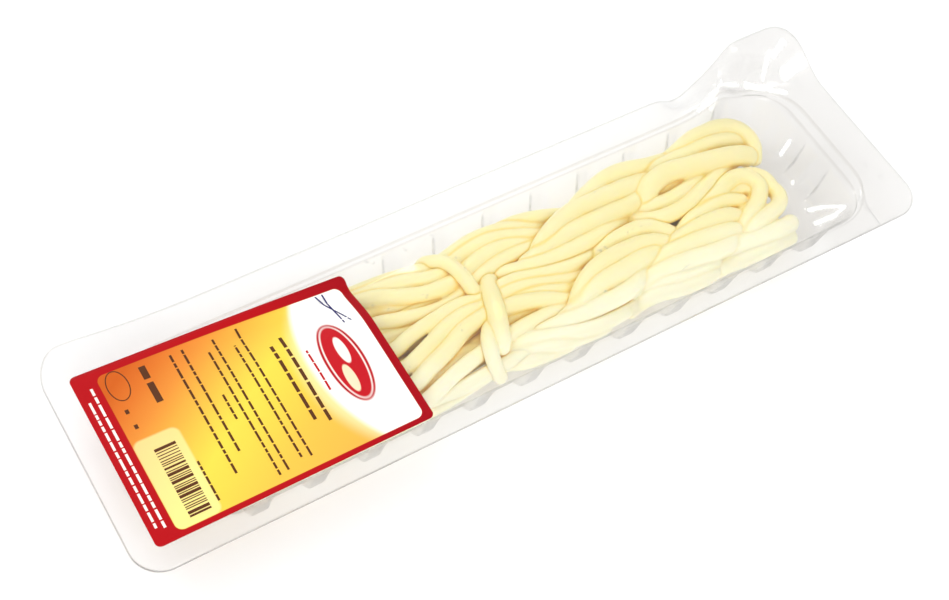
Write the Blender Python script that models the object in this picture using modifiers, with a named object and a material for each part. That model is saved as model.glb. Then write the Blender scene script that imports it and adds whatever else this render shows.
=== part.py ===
"""A braided string cheese in its sealed clear tray pack.

Metres, +Z up. The tray's long side runs along X, its base lies on z = 0, and the
origin is the middle of the pack's outline. Four separate pieces: the formed tray,
the lid film sealed over it, the label stuck on the film and the braid of cheese.
"""

import math

import bmesh
import bpy
from mathutils import Vector
from mathutils.bvhtree import BVHTree

MM = 0.001
ABOVE_ALL = 0.1

# Outline and flange
PACK_LENGTH = 301.5
PACK_WIDTH = 82.5
PACK_CORNER = 10.5
TRAY_HEIGHT = 18.0
TRAY_WALL = 0.6

# Cavity: rim line, stepped ledge, then drafted walls down to a flat base
RIM_LEFT = 19.5
RIM_RIGHT = 288.5
RIM_NEAR = 6.4
RIM_FAR = 72.2
RIM_CORNER = 18.5
LEDGE_SIDE = 1.5
LEDGE_END = 3.8
LEDGE_DROP = 1.2
LEDGE_CORNER = 15.5
WALL_CORNER = 12.0
WALL_TOP_STEP = 0.6
WALL_TOP_STEP_END = 3.0
WALL_TOP_DROP = 2.4
WALL_DRAFT = 0.45
BASE_FILLET = 2.8
BASE_FILLET_RUN = 0.8

# Pillars that stiffen the walls
PILLAR_FIRST = 43.1
PILLAR_PITCH = 19.8
PILLARS_A_SIDE = 12
PILLAR_HALF_FOOT = 3.9
PILLAR_HALF_FACE = 2.5
PILLAR_DRAFT_SHARE = 0.25
END_PILLARS = (32.9, 46.5)
SIDE_END_LEFT = 39.0
SIDE_END_RIGHT = 268.0
END_STRAIGHT_NEAR = 27.0
END_STRAIGHT_FAR = 52.5
CORNER_STEPS = 10
STRAIGHT_SHARE = 0.2

# The far right-hand corner is bent up, and the far left-hand one a little
BENT_RISE = 19.0
BENT_FROM_X = 252.0
BENT_RUN_X = 26.0
BENT_FROM_Y = 61.0
BENT_RUN_Y = 22.0
BENT_PULL = 0.39
BENT_LEAN = 0.05
BENT_BLEND = 8.0
RIM_BUMP = 7.0
RIM_BUMP_X = 260.0
RIM_BUMP_SPREAD = 8.5
RIM_BUMP_DEPTH = 5.0
DIP = 4.0
DIP_X = 249.0
DIP_SPREAD = 6.0
LEFT_RISE = 6.0
LEFT_SPREAD = 28.0

# Lid film and label
LID_INSET = 0.4
LID_THICK = 0.4
BENT_LIFT_OFF = 1.3
GAP = 0.3
FILM_SHARES = (0.12, 0.35, 0.75)
FILM_MIDDLE_LEFT = 58.0
FILM_MIDDLE_RIGHT = 250.0
FILM_BENT_LEFT = 70.0
FILM_BENT_RIGHT = 230.0
FILM_EVERY = 16
BENT_SEARCH = 2.5
LABEL_THICK = 0.3
LABEL_LEFT = 8.0
LABEL_RIGHT = 103.0
LABEL_NEAR = 8.6
LABEL_FAR = 72.3
LABEL_CORNER = 2.0
LABEL_COLUMNS = 10
LABEL_ROWS = 9
LABEL_SEARCH = 5

# Where the film and the label sag into the cavity
SAG = 4.5
SAG_EDGE = 8.0
SAG_FROM_X = 30.0
SAG_RUN_X = 72.0
SAG_FADE_X = 40.0
SAG_FROM_Y = 47.5
SAG_RUN_Y = 20.0

# The braid: two twisted ropes side by side, each of two bundles of strands
STRAND = 2.5
CORE = 4.8
BUNDLES = 2
STRANDS_A_BUNDLE = 6
BUNDLE_SPREAD = 3.4
BUNDLE_RISE = 3.0
ROPE_MIDDLE = 8.7
ROPE_RISE = 2.0
BRAID_LEFT = 40.0
TIE_X = 136.5
TIE_MIDDLE = 39.8
TIE_REACH = 23.6
TIE_HEIGHT = 9.2
TIE_RISE = 5.6
TIE_STEPS = 28
TIE_WAVE = 5.0
TIE_LEAN = 3.5
TIGHTER = 0.15
TIGHT_SPREAD = 14.0
CLOSING = 0.45
CLOSING_RUN = 13.0
LOOSE_TURN = 900.0
BRAID_STEP = 4.0
VOXEL = 0.9
BRAID_TRIANGLES = 4200
ROPES = (
    {"middle": 53.3, "swing": 7.2, "lobe": 48.0, "top": 194.0, "end": 259.0},
    {"middle": 27.6, "swing": 9.4, "lobe": 40.0, "top": 188.0, "end": 254.0},
)

COLOURS = {
    "tray": (0.93, 0.93, 0.94, 0.12),
    "lid_film": (0.95, 0.95, 0.97, 0.10),
    "label": (0.80, 0.10, 0.06, 0.40),
    "cheese_braid": (0.93, 0.80, 0.47, 0.45),
}


def smooth(value):
    """0 below 0, 1 above 1 and an even ramp between."""
    clipped = min(max(value, 0.0), 1.0)
    return clipped * clipped * (3 - 2 * clipped)


def bell(value, middle, spread):
    return math.exp(-(((value - middle) / spread) ** 2))


def outside_rim(x, y):
    """How far a place on the flange lies outside the rim of the cavity."""
    across = max(RIM_LEFT + RIM_CORNER - x, x - RIM_RIGHT + RIM_CORNER, 0.0)
    along = max(RIM_NEAR + RIM_CORNER - y, y - RIM_FAR + RIM_CORNER, 0.0)
    return math.hypot(across, along) - RIM_CORNER


def rise(x, y):
    """Height of the bent flange or film above the flat pack."""
    out = outside_rim(x, y)
    bent = BENT_RISE * smooth((x - BENT_FROM_X) / BENT_RUN_X)
    bent *= smooth((y - BENT_FROM_Y) / BENT_RUN_Y) * smooth(out / BENT_BLEND)
    bump = RIM_BUMP * bell(x, RIM_BUMP_X, RIM_BUMP_SPREAD) * bell(y, RIM_FAR, RIM_BUMP_DEPTH)
    edge = smooth((y - RIM_FAR) / (PACK_WIDTH - RIM_FAR))
    dip = DIP * bell(x, DIP_X, DIP_SPREAD) * edge
    left = LEFT_RISE * bell(x, 0.0, LEFT_SPREAD) * edge
    return bent + bump - dip + left


def place(x, y, z, follow=1.0):
    """A point of the flat pack, in mm from its near left corner, moved to the bent pack in metres."""
    up = rise(x, y) * follow
    pulled_x = x - BENT_PULL * up * smooth((x - BENT_FROM_X) / BENT_RUN_X)
    return (
        (pulled_x - PACK_LENGTH / 2) * MM,
        (y - BENT_LEAN * max(up, 0.0) - PACK_WIDTH / 2) * MM,
        (z + up) * MM,
    )


def corner_path(share, start, corner, side, end, radius):
    """The point at a share of the way round one corner: straight, quarter circle, straight."""
    toward_x = 1 if corner > start else -1
    toward_y = 1 if end > side else -1
    if share < STRAIGHT_SHARE:
        run = abs(corner - start) - radius
        return start + toward_x * run * share / STRAIGHT_SHARE, side
    if share > 1 - STRAIGHT_SHARE:
        run = abs(end - side) - radius
        return corner, end - toward_y * run * (1 - share) / STRAIGHT_SHARE
    angle = math.pi / 2 * (share - STRAIGHT_SHARE) / (1 - 2 * STRAIGHT_SHARE)
    return (
        corner - toward_x * radius * (1 - math.sin(angle)),
        side + toward_y * radius * (1 - math.cos(angle)),
    )


def pillar_stations(middles):
    """(position, share of the pillar's depth) of each corner of a row of pillars."""
    stations = []
    for middle in middles:
        stations += [
            (middle - PILLAR_HALF_FOOT, 0.0),
            (middle - PILLAR_HALF_FACE, 1.0),
            (middle + PILLAR_HALF_FACE, 1.0),
            (middle + PILLAR_HALF_FOOT, 0.0),
        ]
    return stations


def ring(left, right, near, far, radius, bulge=0.0):
    """One closed line round the tray, anticlockwise from above. A pillar bulges out of it."""
    sides = pillar_stations(PILLAR_FIRST + PILLAR_PITCH * i for i in range(PILLARS_A_SIDE))
    ends = pillar_stations(END_PILLARS)
    steps = [i / CORNER_STEPS for i in range(CORNER_STEPS + 1)]
    points = [(x, near - bulge * share) for x, share in sides]
    points += [corner_path(t, SIDE_END_RIGHT, right, near, END_STRAIGHT_NEAR, radius) for t in steps]
    points += [(right + bulge * share, y) for y, share in ends]
    far_right = [corner_path(t, SIDE_END_RIGHT, right, far, END_STRAIGHT_FAR, radius) for t in steps]
    points += far_right[::-1]
    points += [(x, far + bulge * share) for x, share in sides[::-1]]
    points += [corner_path(t, SIDE_END_LEFT, left, far, END_STRAIGHT_FAR, radius) for t in steps]
    points += [(left - bulge * share, y) for y, share in ends[::-1]]
    near_left = [corner_path(t, SIDE_END_LEFT, left, near, END_STRAIGHT_NEAR, radius) for t in steps]
    return points + near_left[::-1]


def inset_ring(side, end, radius, bulge=0.0):
    return ring(
        RIM_LEFT + end, RIM_RIGHT - end, RIM_NEAR + side, RIM_FAR - side, radius, bulge
    )


def halfway(first, second, share):
    """Points a share of the way from one ring to another."""
    return [
        (a[0] + share * (b[0] - a[0]), a[1] + share * (b[1] - a[1]))
        for a, b in zip(first, second)
    ]


def sheet_object(name, rings, thickness, cap):
    """Rings of equal length skinned into a sheet, then thickened downwards."""
    mesh = bmesh.new()
    rows = [[mesh.verts.new(point) for point in points] for points in rings]
    for outer, inner in zip(rows, rows[1:]):
        count = len(outer)
        for i in range(count):
            j = (i + 1) % count
            mesh.faces.new((outer[i], outer[j], inner[j]))
            mesh.faces.new((outer[i], inner[j], inner[i]))
    if cap:
        mesh.faces.new(rows[-1])
    mesh.normal_update()
    return finish_object(name, mesh, thickness)


def finish_object(name, mesh, thickness=0.0):
    data = bpy.data.meshes.new(name)
    mesh.to_mesh(data)
    mesh.free()
    thing = bpy.data.objects.new(name, data)
    pack.objects.link(thing)
    material = bpy.data.materials.new(name)
    material.use_nodes = True
    shader = material.node_tree.nodes["Principled BSDF"]
    shader.inputs["Base Color"].default_value = (*COLOURS[name][:3], 1.0)
    shader.inputs["Roughness"].default_value = COLOURS[name][3]
    data.materials.append(material)
    if thickness:
        solid = thing.modifiers.new("Thickness", "SOLIDIFY")
        solid.thickness = thickness * MM
        solid.offset = -1.0
    return thing


def build_tray():
    """Flange, ledge, walls with pillars and base as one formed sheet."""
    top = TRAY_HEIGHT
    edge = ring(0.0, PACK_LENGTH, 0.0, PACK_WIDTH, PACK_CORNER)
    rim = inset_ring(0.0, 0.0, RIM_CORNER)
    flats = (edge, halfway(edge, rim, 0.5), rim)
    rings = [[place(x, y, top) for x, y in points] for points in flats]
    ledge = inset_ring(LEDGE_SIDE, LEDGE_END, LEDGE_CORNER)
    rings.append([place(x, y, top - LEDGE_DROP) for x, y in ledge])
    side = LEDGE_SIDE + WALL_TOP_STEP
    end = LEDGE_END + WALL_TOP_STEP_END
    wall_top = inset_ring(side, end, WALL_CORNER)
    rings.append([place(x, y, top - WALL_TOP_DROP, 0.8) for x, y in wall_top])
    deep = top - WALL_TOP_DROP - BASE_FILLET - TRAY_WALL
    bulge = WALL_DRAFT * deep * (1 - PILLAR_DRAFT_SHARE)
    slope = WALL_DRAFT * deep
    foot = inset_ring(side + slope, end + slope, WALL_CORNER - slope, bulge)
    rings.append([place(x, y, TRAY_WALL + BASE_FILLET, 0.0) for x, y in foot])
    slope += BASE_FILLET * BASE_FILLET_RUN
    base = inset_ring(side + slope, end + slope, WALL_CORNER - slope, bulge)
    rings.append([place(x, y, TRAY_WALL, 0.0) for x, y in base])
    sheet_object("tray", rings, TRAY_WALL, True)


def film_height(x, y):
    """Top of the lid film over the flat pack: it sags where the label's far right part pulls it in."""
    inside = smooth((-outside_rim(x, y) - LEDGE_SIDE) / SAG_EDGE)
    across = smooth((x - SAG_FROM_X) / SAG_RUN_X) * (1 - smooth((x - LABEL_RIGHT) / SAG_FADE_X))
    sag = SAG * across * smooth((y - SAG_FROM_Y) / SAG_RUN_Y) * inside
    further_out = max(rise(x + BENT_SEARCH, y + BENT_SEARCH), rise(x, y))
    steep = BENT_LIFT_OFF * smooth(further_out / BENT_SEARCH)
    return TRAY_HEIGHT + GAP + LID_THICK + steep - sag


def film_points(points):
    """The points of a ring that the film needs: the corners and the bent parts, not each pillar."""
    kept = []
    for i, (x, y) in enumerate(points):
        corner = x < SIDE_END_LEFT + 1 or x > SIDE_END_RIGHT - 1
        bent = y > PACK_WIDTH / 2 and not FILM_BENT_LEFT <= x <= FILM_BENT_RIGHT
        beside_pillar = min(abs(y - middle) for middle in END_PILLARS) < PILLAR_HALF_FACE + 0.1
        if (corner and not beside_pillar) or bent or i % FILM_EVERY == 0:
            kept.append(i)
    return kept


def build_lid_film():
    """The clear film sealed over the flange and across the cavity."""
    edge = ring(LID_INSET, PACK_LENGTH - LID_INSET, LID_INSET, PACK_WIDTH - LID_INSET, PACK_CORNER)
    rim = inset_ring(0.0, 0.0, RIM_CORNER)
    kept = film_points(ring(0.0, PACK_LENGTH, 0.0, PACK_WIDTH, PACK_CORNER))
    edge = [edge[i] for i in kept]
    rim = [rim[i] for i in kept]
    flats = [edge, halfway(edge, rim, 0.5), rim]
    along_middle = (RIM_NEAR + RIM_FAR) / 2
    middle = [(min(max(x, FILM_MIDDLE_LEFT), FILM_MIDDLE_RIGHT), along_middle) for x, _ in rim]
    flats += [halfway(rim, middle, share) for share in FILM_SHARES]
    rings = []
    for number, points in enumerate(flats):
        follow = max(0.0, 1.0 - 0.5 * max(number - 3, 0))
        rings.append([place(x, y, film_height(x, y), follow) for x, y in points])
    sheet_object("lid_film", rings, LID_THICK, True)


def build_label():
    """A thin sheet with rounded corners that lies on the film."""
    bpy.context.view_layer.update()
    film = BVHTree.FromObject(bpy.data.objects["lid_film"], bpy.context.evaluated_depsgraph_get())

    def on_film(x, y):
        """A point just clear of the film, which is made of flat facets."""
        here = place(x, y, TRAY_HEIGHT)
        highest = -1.0
        for across, along in ((0, 0), (1, 1), (1, -1), (-1, 1), (-1, -1)):
            reach = LABEL_SEARCH * MM
            start = Vector((here[0] + across * reach, here[1] + along * reach, ABOVE_ALL))
            hit = film.ray_cast(start, Vector((0, 0, -1)))[0]
            highest = max(highest, hit.z)
        return here[0], here[1], highest + (GAP + LABEL_THICK) * MM

    long = LABEL_RIGHT - LABEL_LEFT
    flat = long - 2 * LABEL_CORNER
    ends = [0.0, 0.15 * LABEL_CORNER, 0.5 * LABEL_CORNER]
    columns = ends + [LABEL_CORNER + flat * i / LABEL_COLUMNS for i in range(LABEL_COLUMNS + 1)]
    columns += [long - end for end in ends[::-1]]
    rows = [i / LABEL_ROWS for i in range(LABEL_ROWS + 1)]
    mesh = bmesh.new()
    grid = []
    for step in columns:
        x = LABEL_LEFT + step
        from_end = min(step, long - step)
        cut = 0.0
        if from_end < LABEL_CORNER:
            cut = LABEL_CORNER - math.sqrt(LABEL_CORNER**2 - (LABEL_CORNER - from_end) ** 2)
        line = []
        for share in rows:
            y = LABEL_NEAR + cut + (LABEL_FAR - LABEL_NEAR - 2 * cut) * share
            line.append(mesh.verts.new(on_film(x, y)))
        grid.append(line)
    for first, second in zip(grid, grid[1:]):
        for i in range(len(rows) - 1):
            mesh.faces.new((first[i], second[i], second[i + 1], first[i + 1]))
    mesh.normal_update()
    finish_object("label", mesh, LABEL_THICK)


def rope_turn(rope, x):
    """Turn of the bundles: loose and nearly straight left of the tie, twisted right of it."""
    twisted = max(x - TIE_X, 0.0)
    loose = min(x - TIE_X, 0.0)
    at_tie = (TIE_X - rope["top"]) / (2 * rope["lobe"])
    return math.pi / 2 - 2 * math.pi * (at_tie + twisted / (2 * rope["lobe"]) + loose / LOOSE_TURN)


def strand_path(rope, bundle, strand):
    """Centre line of one strand of one bundle."""
    points = []
    steps = int((rope["end"] - BRAID_LEFT) / BRAID_STEP)
    for i in range(steps + 1):
        x = BRAID_LEFT + (rope["end"] - BRAID_LEFT) * i / steps
        tight = 1 - TIGHTER * bell(x, TIE_X, TIGHT_SPREAD)
        closing = 1 - CLOSING * smooth((x - rope["end"] + CLOSING_RUN) / CLOSING_RUN) ** 2
        turn = rope_turn(rope, x) + 2 * math.pi * bundle / BUNDLES
        own = turn * 0.5 + 2 * math.pi * strand / STRANDS_A_BUNDLE
        wide = rope["swing"] * tight * closing
        y = rope["middle"] + wide * math.cos(turn) + BUNDLE_SPREAD * closing * math.cos(own)
        z = ROPE_MIDDLE + closing * (ROPE_RISE * math.sin(turn) + BUNDLE_RISE * math.sin(own))
        points.append((x, y, z))
    return points


def tie_path():
    """The strand that is wound round both ropes."""
    points = []
    for i in range(TIE_STEPS):
        angle = 2 * math.pi * i / TIE_STEPS
        y = TIE_MIDDLE + TIE_REACH * math.cos(angle)
        z = TIE_HEIGHT + TIE_RISE * math.sin(angle)
        points.append((TIE_X + TIE_WAVE * math.sin(2 * angle) - TIE_LEAN * math.cos(angle), y, z))
    return points


def tube(points, radius, closed=False):
    """A curve object with a round bevel through the points."""
    data = bpy.data.curves.new("strand", "CURVE")
    data.dimensions = "3D"
    data.bevel_depth = radius * MM
    data.bevel_resolution = 2
    data.use_fill_caps = True
    line = data.splines.new("POLY")
    line.points.add(len(points) - 1)
    line.use_cyclic_u = closed
    for knot, (x, y, z) in zip(line.points, points):
        knot.co = ((x - PACK_LENGTH / 2) * MM, (y - PACK_WIDTH / 2) * MM, z * MM, 1.0)
    thing = bpy.data.objects.new("strand", data)
    helpers.objects.link(thing)
    return thing


def largest_shell(mesh):
    """Drops every closed shell but the one that takes up most room."""
    mesh.faces.ensure_lookup_table()
    seen = set()
    shells = []
    for face in mesh.faces:
        if face.index in seen:
            continue
        shell, waiting = [], [face]
        seen.add(face.index)
        while waiting:
            here = waiting.pop()
            shell.append(here)
            for edge in here.edges:
                for other in edge.link_faces:
                    if other.index not in seen:
                        seen.add(other.index)
                        waiting.append(other)
        shells.append(shell)
    shells.sort(key=len)
    for shell in shells[:-1]:
        bmesh.ops.delete(mesh, geom=shell, context="FACES")


def evaluated_mesh(thing):
    graph = bpy.context.evaluated_depsgraph_get()
    return bpy.data.meshes.new_from_object(thing.evaluated_get(graph))


def build_braid():
    """All strands and a core joined into one solid out to the uneven outline."""
    tubes = [tube(tie_path(), STRAND, True)]
    for rope in ROPES:
        for bundle in range(BUNDLES):
            for strand in range(STRANDS_A_BUNDLE):
                tubes.append(tube(strand_path(rope, bundle, strand), STRAND))
    joined = bmesh.new()
    bpy.context.view_layer.update()
    for thing in tubes:
        joined.from_mesh(evaluated_mesh(thing))
    for rope in ROPES:
        core = strand_path({**rope, "swing": 0.0}, 0, 0)
        middle = [(x, rope["middle"], ROPE_MIDDLE) for x, _, _ in core[1:-1]]
        joined.from_mesh(evaluated_mesh(tube(middle, CORE)))
    braid = finish_object("cheese_braid", joined)
    skin = braid.modifiers.new("Skin", "REMESH")
    skin.mode = "VOXEL"
    skin.voxel_size = VOXEL * MM
    bpy.context.view_layer.update()
    solid = bmesh.new()
    solid.from_mesh(evaluated_mesh(braid))
    largest_shell(solid)
    solid.to_mesh(braid.data)
    solid.free()
    braid.modifiers.clear()
    even = braid.modifiers.new("Even", "SMOOTH")
    even.factor = 0.5
    even.iterations = 2
    fewer = braid.modifiers.new("Fewer", "DECIMATE")
    count = sum(len(face.vertices) - 2 for face in braid.data.polygons)
    fewer.ratio = BRAID_TRIANGLES / count


for old in list(bpy.data.objects):
    bpy.data.objects.remove(old, do_unlink=True)
pack = bpy.data.collections.new("braided_string_cheese_pack")
helpers = bpy.data.collections.new("helpers")
bpy.context.scene.collection.children.link(pack)
bpy.context.scene.collection.children.link(helpers)
helpers.hide_render = True
build_tray()
build_lid_film()
build_label()
build_braid()
for helper in list(helpers.objects):
    bpy.data.objects.remove(helper, do_unlink=True)
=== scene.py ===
"""The looks of a braided string cheese in its sealed clear tray pack.

An add-on that is run as a script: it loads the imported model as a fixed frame, and each
operator builds one piece or group of like pieces round it. Places inside the pack are in
millimetres from the near left corner of its outline, with z up from the base.
"""

import math
import random

import bmesh
import bpy
import numpy as np
from mathutils import Matrix, Vector, noise
from mathutils.bvhtree import BVHTree
from mathutils.kdtree import KDTree


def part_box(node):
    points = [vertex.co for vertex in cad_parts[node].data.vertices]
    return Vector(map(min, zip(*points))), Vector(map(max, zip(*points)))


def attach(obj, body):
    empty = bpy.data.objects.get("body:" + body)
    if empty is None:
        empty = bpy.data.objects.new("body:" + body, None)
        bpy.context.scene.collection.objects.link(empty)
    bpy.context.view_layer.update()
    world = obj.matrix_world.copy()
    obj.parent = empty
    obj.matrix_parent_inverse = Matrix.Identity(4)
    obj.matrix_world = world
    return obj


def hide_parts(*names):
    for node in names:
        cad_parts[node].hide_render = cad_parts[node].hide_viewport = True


bl_info = {
    "name": "Braided string cheese pack",
    "version": (1, 0, 0),
    "blender": (4, 5, 0),
    "location": "3D View > Sidebar > Cheese pack",
    "description": "Builds the looks of a sealed tray of braided string cheese",
    "category": "Object",
}

MM = 0.001

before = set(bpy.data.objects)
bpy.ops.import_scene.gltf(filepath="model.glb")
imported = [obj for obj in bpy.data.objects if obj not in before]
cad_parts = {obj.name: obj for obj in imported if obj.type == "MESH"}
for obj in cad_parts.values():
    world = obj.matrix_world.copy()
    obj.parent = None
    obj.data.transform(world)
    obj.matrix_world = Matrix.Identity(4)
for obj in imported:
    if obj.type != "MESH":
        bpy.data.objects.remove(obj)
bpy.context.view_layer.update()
TRAY_LOW, TRAY_HIGH = (Vector(corner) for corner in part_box("tray"))
PACK_LENGTH = (TRAY_HIGH.x - TRAY_LOW.x) / MM
PACK_WIDTH = 82.5
TRAY_TOP = 18.0

# The camera: its place from the near left corner of the lid, and its axes
EYE = (-52.6, -179.2, 445.0)
EYE_RIGHT = (0.8506, -0.5143, 0.1089)
EYE_UP = (0.3864, 0.7520, 0.5337)
EYE_BACK = (-0.3565, -0.4119, 0.8384)

# The cavity of the tray
RIM_LEFT, RIM_RIGHT = 19.5, 288.5
RIM_NEAR, RIM_FAR = 6.4, 72.2
RIM_CORNER = 18.5
SIDE_LEFT, SIDE_RIGHT = 39.0, 268.0
END_NEAR, END_FAR = 27.0, 52.5
CORNER_STEPS = 26
STRAIGHT_SHARE = 0.25
PILLAR_FIRST, PILLAR_PITCH, PILLARS_A_SIDE = 43.1, 19.8, 12
END_PILLARS = (32.9, 46.5)
PILLAR_HALF_FOOT, PILLAR_HALF_FACE = 3.9, 2.5
PILLAR_FOOT_BULGE, NEAR_PILLAR_SHARE = 4.1, 0.75
RIB_HEIGHT, WALL_ROWS = 0.14, 34
TRAY_WALL, TRAY_FLOOR = 0.45, 0.6
PACK_CORNER = 10.5
WALL_CORNER, WALL_DRAFT, WALL_TOP_DROP, BASE_FILLET = 12.0, 0.45, 2.4, 2.8
WALL_DEEP = TRAY_TOP - WALL_TOP_DROP - BASE_FILLET - TRAY_FLOOR
CAVITY_MIDDLE = (RIM_NEAR + RIM_FAR) / 2

# The film and the label
LID_INSET, FILM_THICK = 0.4, 0.12
FILM_COLUMNS, FILM_FINE_COLUMNS, FILM_ROWS = 130, 130, 108
FILM_FINE_FROM, STREAKS_FROM = 246.0, 248.0
LABEL_LEFT, LABEL_RIGHT, LABEL_NEAR, LABEL_FAR = 8.2, 103.0, 7.9, 72.3
LABEL_TAPER = 0.062
LABEL_CORNER, LABEL_THICK = 2.0, 0.1
# Rows of small print: x, from y, to y, height
PRINT_ROWS = (
    (62.4, 14.0, 68.0, 0.75), (59.4, 15.0, 62.0, 0.75), (54.0, 13.0, 67.0, 0.75),
    (51.0, 12.6, 63.0, 0.75), (48.0, 36.5, 46.5, 0.75), (43.7, 26.0, 67.3, 0.8),
    (39.6, 19.5, 67.0, 0.8), (31.0, 13.6, 29.0, 0.75), (19.5, 53.0, 54.6, 1.2),
    (19.8, 47.0, 48.6, 1.2),
)
BOLD_ROWS = ((73.4, 22.5, 58.5, 1.15), (69.3, 25.0, 57.0, 1.15), (30.0, 52.7, 67.0, 2.2))
WHITE_ROWS = ((13.1, 13.0, 66.0, 0.85), (10.7, 14.0, 62.0, 0.8))
RED_ROWS = ((78.4, 32.5, 49.5, 0.7),)
DROPS = (
    (105.7, 54.2), (108.7, 50), (122.5, 48.2), (113.5, 68.7), (125.5, 67.5), (135.5, 68.4),
    (150.5, 68.5), (139.2, 55.8), (139.8, 52.3), (104.5, 27.2), (126.5, 32.3), (197, 57.5),
    (193, 52.8), (198.7, 39.3), (202.5, 39), (186, 36.2), (188, 36.7), (179, 22), (208, 17.5),
    (224, 33),
)

# How the nooks between strands are found, and the light of the stage
NOOK_RAYS, NOOK_REACH = 14, 7.0
FINE_VOXEL, COARSE_VOXEL, CREASE_REACH = 0.42, 0.75, 0.9
FAR_LOOSE_STRANDS = 7
LENS = 61.0
SKY_STRENGTH, HORIZON_STRENGTH, WINDOW_STRENGTH, LAMP_STRENGTH = 0.8, 1.02, 0.5, 6.0
# STREAK_GLOW is painted light: the glow of the plastic's milkiness and of the painted highlight streaks on the
# film
NEAR_POWER, FLOOR_GLOW, STREAK_GLOW = 8.0, 0.2, 0.35
SOFT_WINDOW, LAMP = (-1.2, 0.6, 0.5, 1.6), (-0.5, 0.2, 0.85, 1.2)

# Strands inside the ropes, and the gap that shows between the ropes
INNER_STRANDS, INNER_NEAR, INNER_FAR = 9, 18.5, 59.5
GAP_PLACE = (218.0, 37.5)

# Strands of cheese: half thickness, then the places that the middle of the strand passes through
LOOSE_STRANDS = (
    (2.7, ((48, 66, 9), (106, 64.5, 9.5), (118, 63.5, 10), (127, 62, 10), (134, 61.5, 10),
        (153, 64, 11), (167.5, 62, 11), (179.5, 58.5, 7.5))),
    (2.7, ((48, 63, 10), (105.5, 62, 10.5), (114.5, 61, 11), (121.5, 59.5, 11.5), (133, 57, 11),
        (146, 61, 11), (153, 61.5, 11.5), (159, 61, 11.5), (165.5, 59, 11), (171, 57, 10),
        (177.5, 55.5, 7.5))),
    (2.8, ((47.5, 60, 11), (105.5, 59.5, 11.5), (112, 57.5, 12), (117, 55, 12), (129.5, 51.5, 12),
        (140, 53, 11), (146, 55, 11.5), (153, 56.5, 11.5), (159, 57, 11), (166, 56, 10),
        (173, 55, 8))),
    (2.7, ((48.5, 58, 7.5), (106.5, 56, 8.5), (113.5, 54, 8.5), (121, 51.5, 8), (128, 50, 7.5),
        (135.5, 49.5, 7))),
    (2.7, ((48, 52, 9.5), (106, 50, 10), (113, 48, 10.5), (121, 46, 10.5), (128, 45.5, 10),
        (134, 46, 10), (139.5, 48, 10), (152.5, 51.5, 11), (166, 53, 10), (173, 54, 8))),
    (2.7, ((48.5, 47, 7), (107, 45.5, 7), (114, 44.5, 7), (121, 43, 7), (130.5, 42.5, 6.5))),
    (2.7, ((152.5, 65, 8), (166.5, 64, 10.5), (172.5, 63, 11), (179, 61.5, 10.5), (193, 58.5, 7))),
    (2.7, ((47.5, 36.5, 11.5), (105, 37.5, 12), (112, 39.5, 12.5), (120, 41, 12.5), (127, 42, 12.5),
        (133.5, 42.5, 12.5), (140.5, 41.5, 12), (153.5, 43, 12), (167, 40.5, 12),
        (174.5, 39.5, 11.5), (182, 40, 10.5), (188.5, 41.5, 9), (196, 44.5, 7))),
    (2.7, ((47.5, 29, 11.5), (105, 30, 12.5), (112, 32, 13), (120, 35, 13), (127, 37.5, 13),
        (133, 38.5, 13), (140.5, 39, 12), (147.5, 40, 12), (162, 38.5, 11.5), (176.5, 35.5, 9),
        (183.5, 34.5, 7))),
    (2.9, ((47.5, 23, 11.5), (105, 23.5, 12.5), (112, 26, 13), (120, 29, 13), (132, 34, 13),
        (146.5, 35, 12), (159, 32.5, 11.5), (171, 28, 8))),
    (2.6, ((138, 37.5, 8.5), (146.5, 38.5, 10), (153.5, 37.5, 11), (160.5, 36, 11), (167, 34, 10),
        (178, 31, 6.5))),
    (2.7, ((48, 16.5, 10), (105.5, 17, 11), (112.5, 19, 11.5), (120.5, 21.5, 11.5), (134, 24.5, 11),
        (146, 26, 11), (158.5, 26.5, 10.5), (171.5, 26.5, 7))),
    (2.6, ((88.5, 16.5, 7), (106.5, 20, 7.5), (115.5, 23, 8), (125, 26.5, 8), (134, 29.5, 8),
        (142.5, 31, 8), (149.5, 32, 8), (155.5, 31.5, 8), (162, 30, 7))),
    (2.7, ((49, 15, 5), (107.5, 15, 5.5), (115.5, 16.5, 6), (123.5, 17.5, 6), (131.5, 18.5, 6.5),
        (144, 20, 9), (156, 16, 9.5), (170, 13, 8), (178, 12.5, 6.5))),
    (2.8, ((136, 21, 6), (141, 21.5, 8.5), (153.5, 20, 11), (165.5, 16, 11), (179.5, 16, 9),
        (186.5, 17.5, 7.5), (193, 20.5, 5))),
    (2.8, ((132.5, 20, 4), (138, 19, 6), (143.5, 16.5, 7), (156.5, 12.5, 6.5), (164, 11, 5.5))),
)
TIE_STRANDS = (
    (2.6, ((129.5, 68, 4), (131.5, 65.5, 8.5), (134, 62, 12), (137.5, 58, 14), (139, 53.5, 14.5),
        (140, 45.5, 13.5), (141, 44, 9.5))),
    (3.3, ((150, 49.5, 8), (146, 44.5, 12), (142.5, 35.5, 15), (139.5, 27, 14.5),
        (138, 23.5, 13.5), (136.5, 22, 9.5))),
    (2.6, ((141.5, 36, 9), (137.5, 30.5, 12.5), (134, 25.5, 14.5), (132.5, 21, 14), (132.5, 15, 9),
        (134.5, 12, 5.5))),
)
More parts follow.
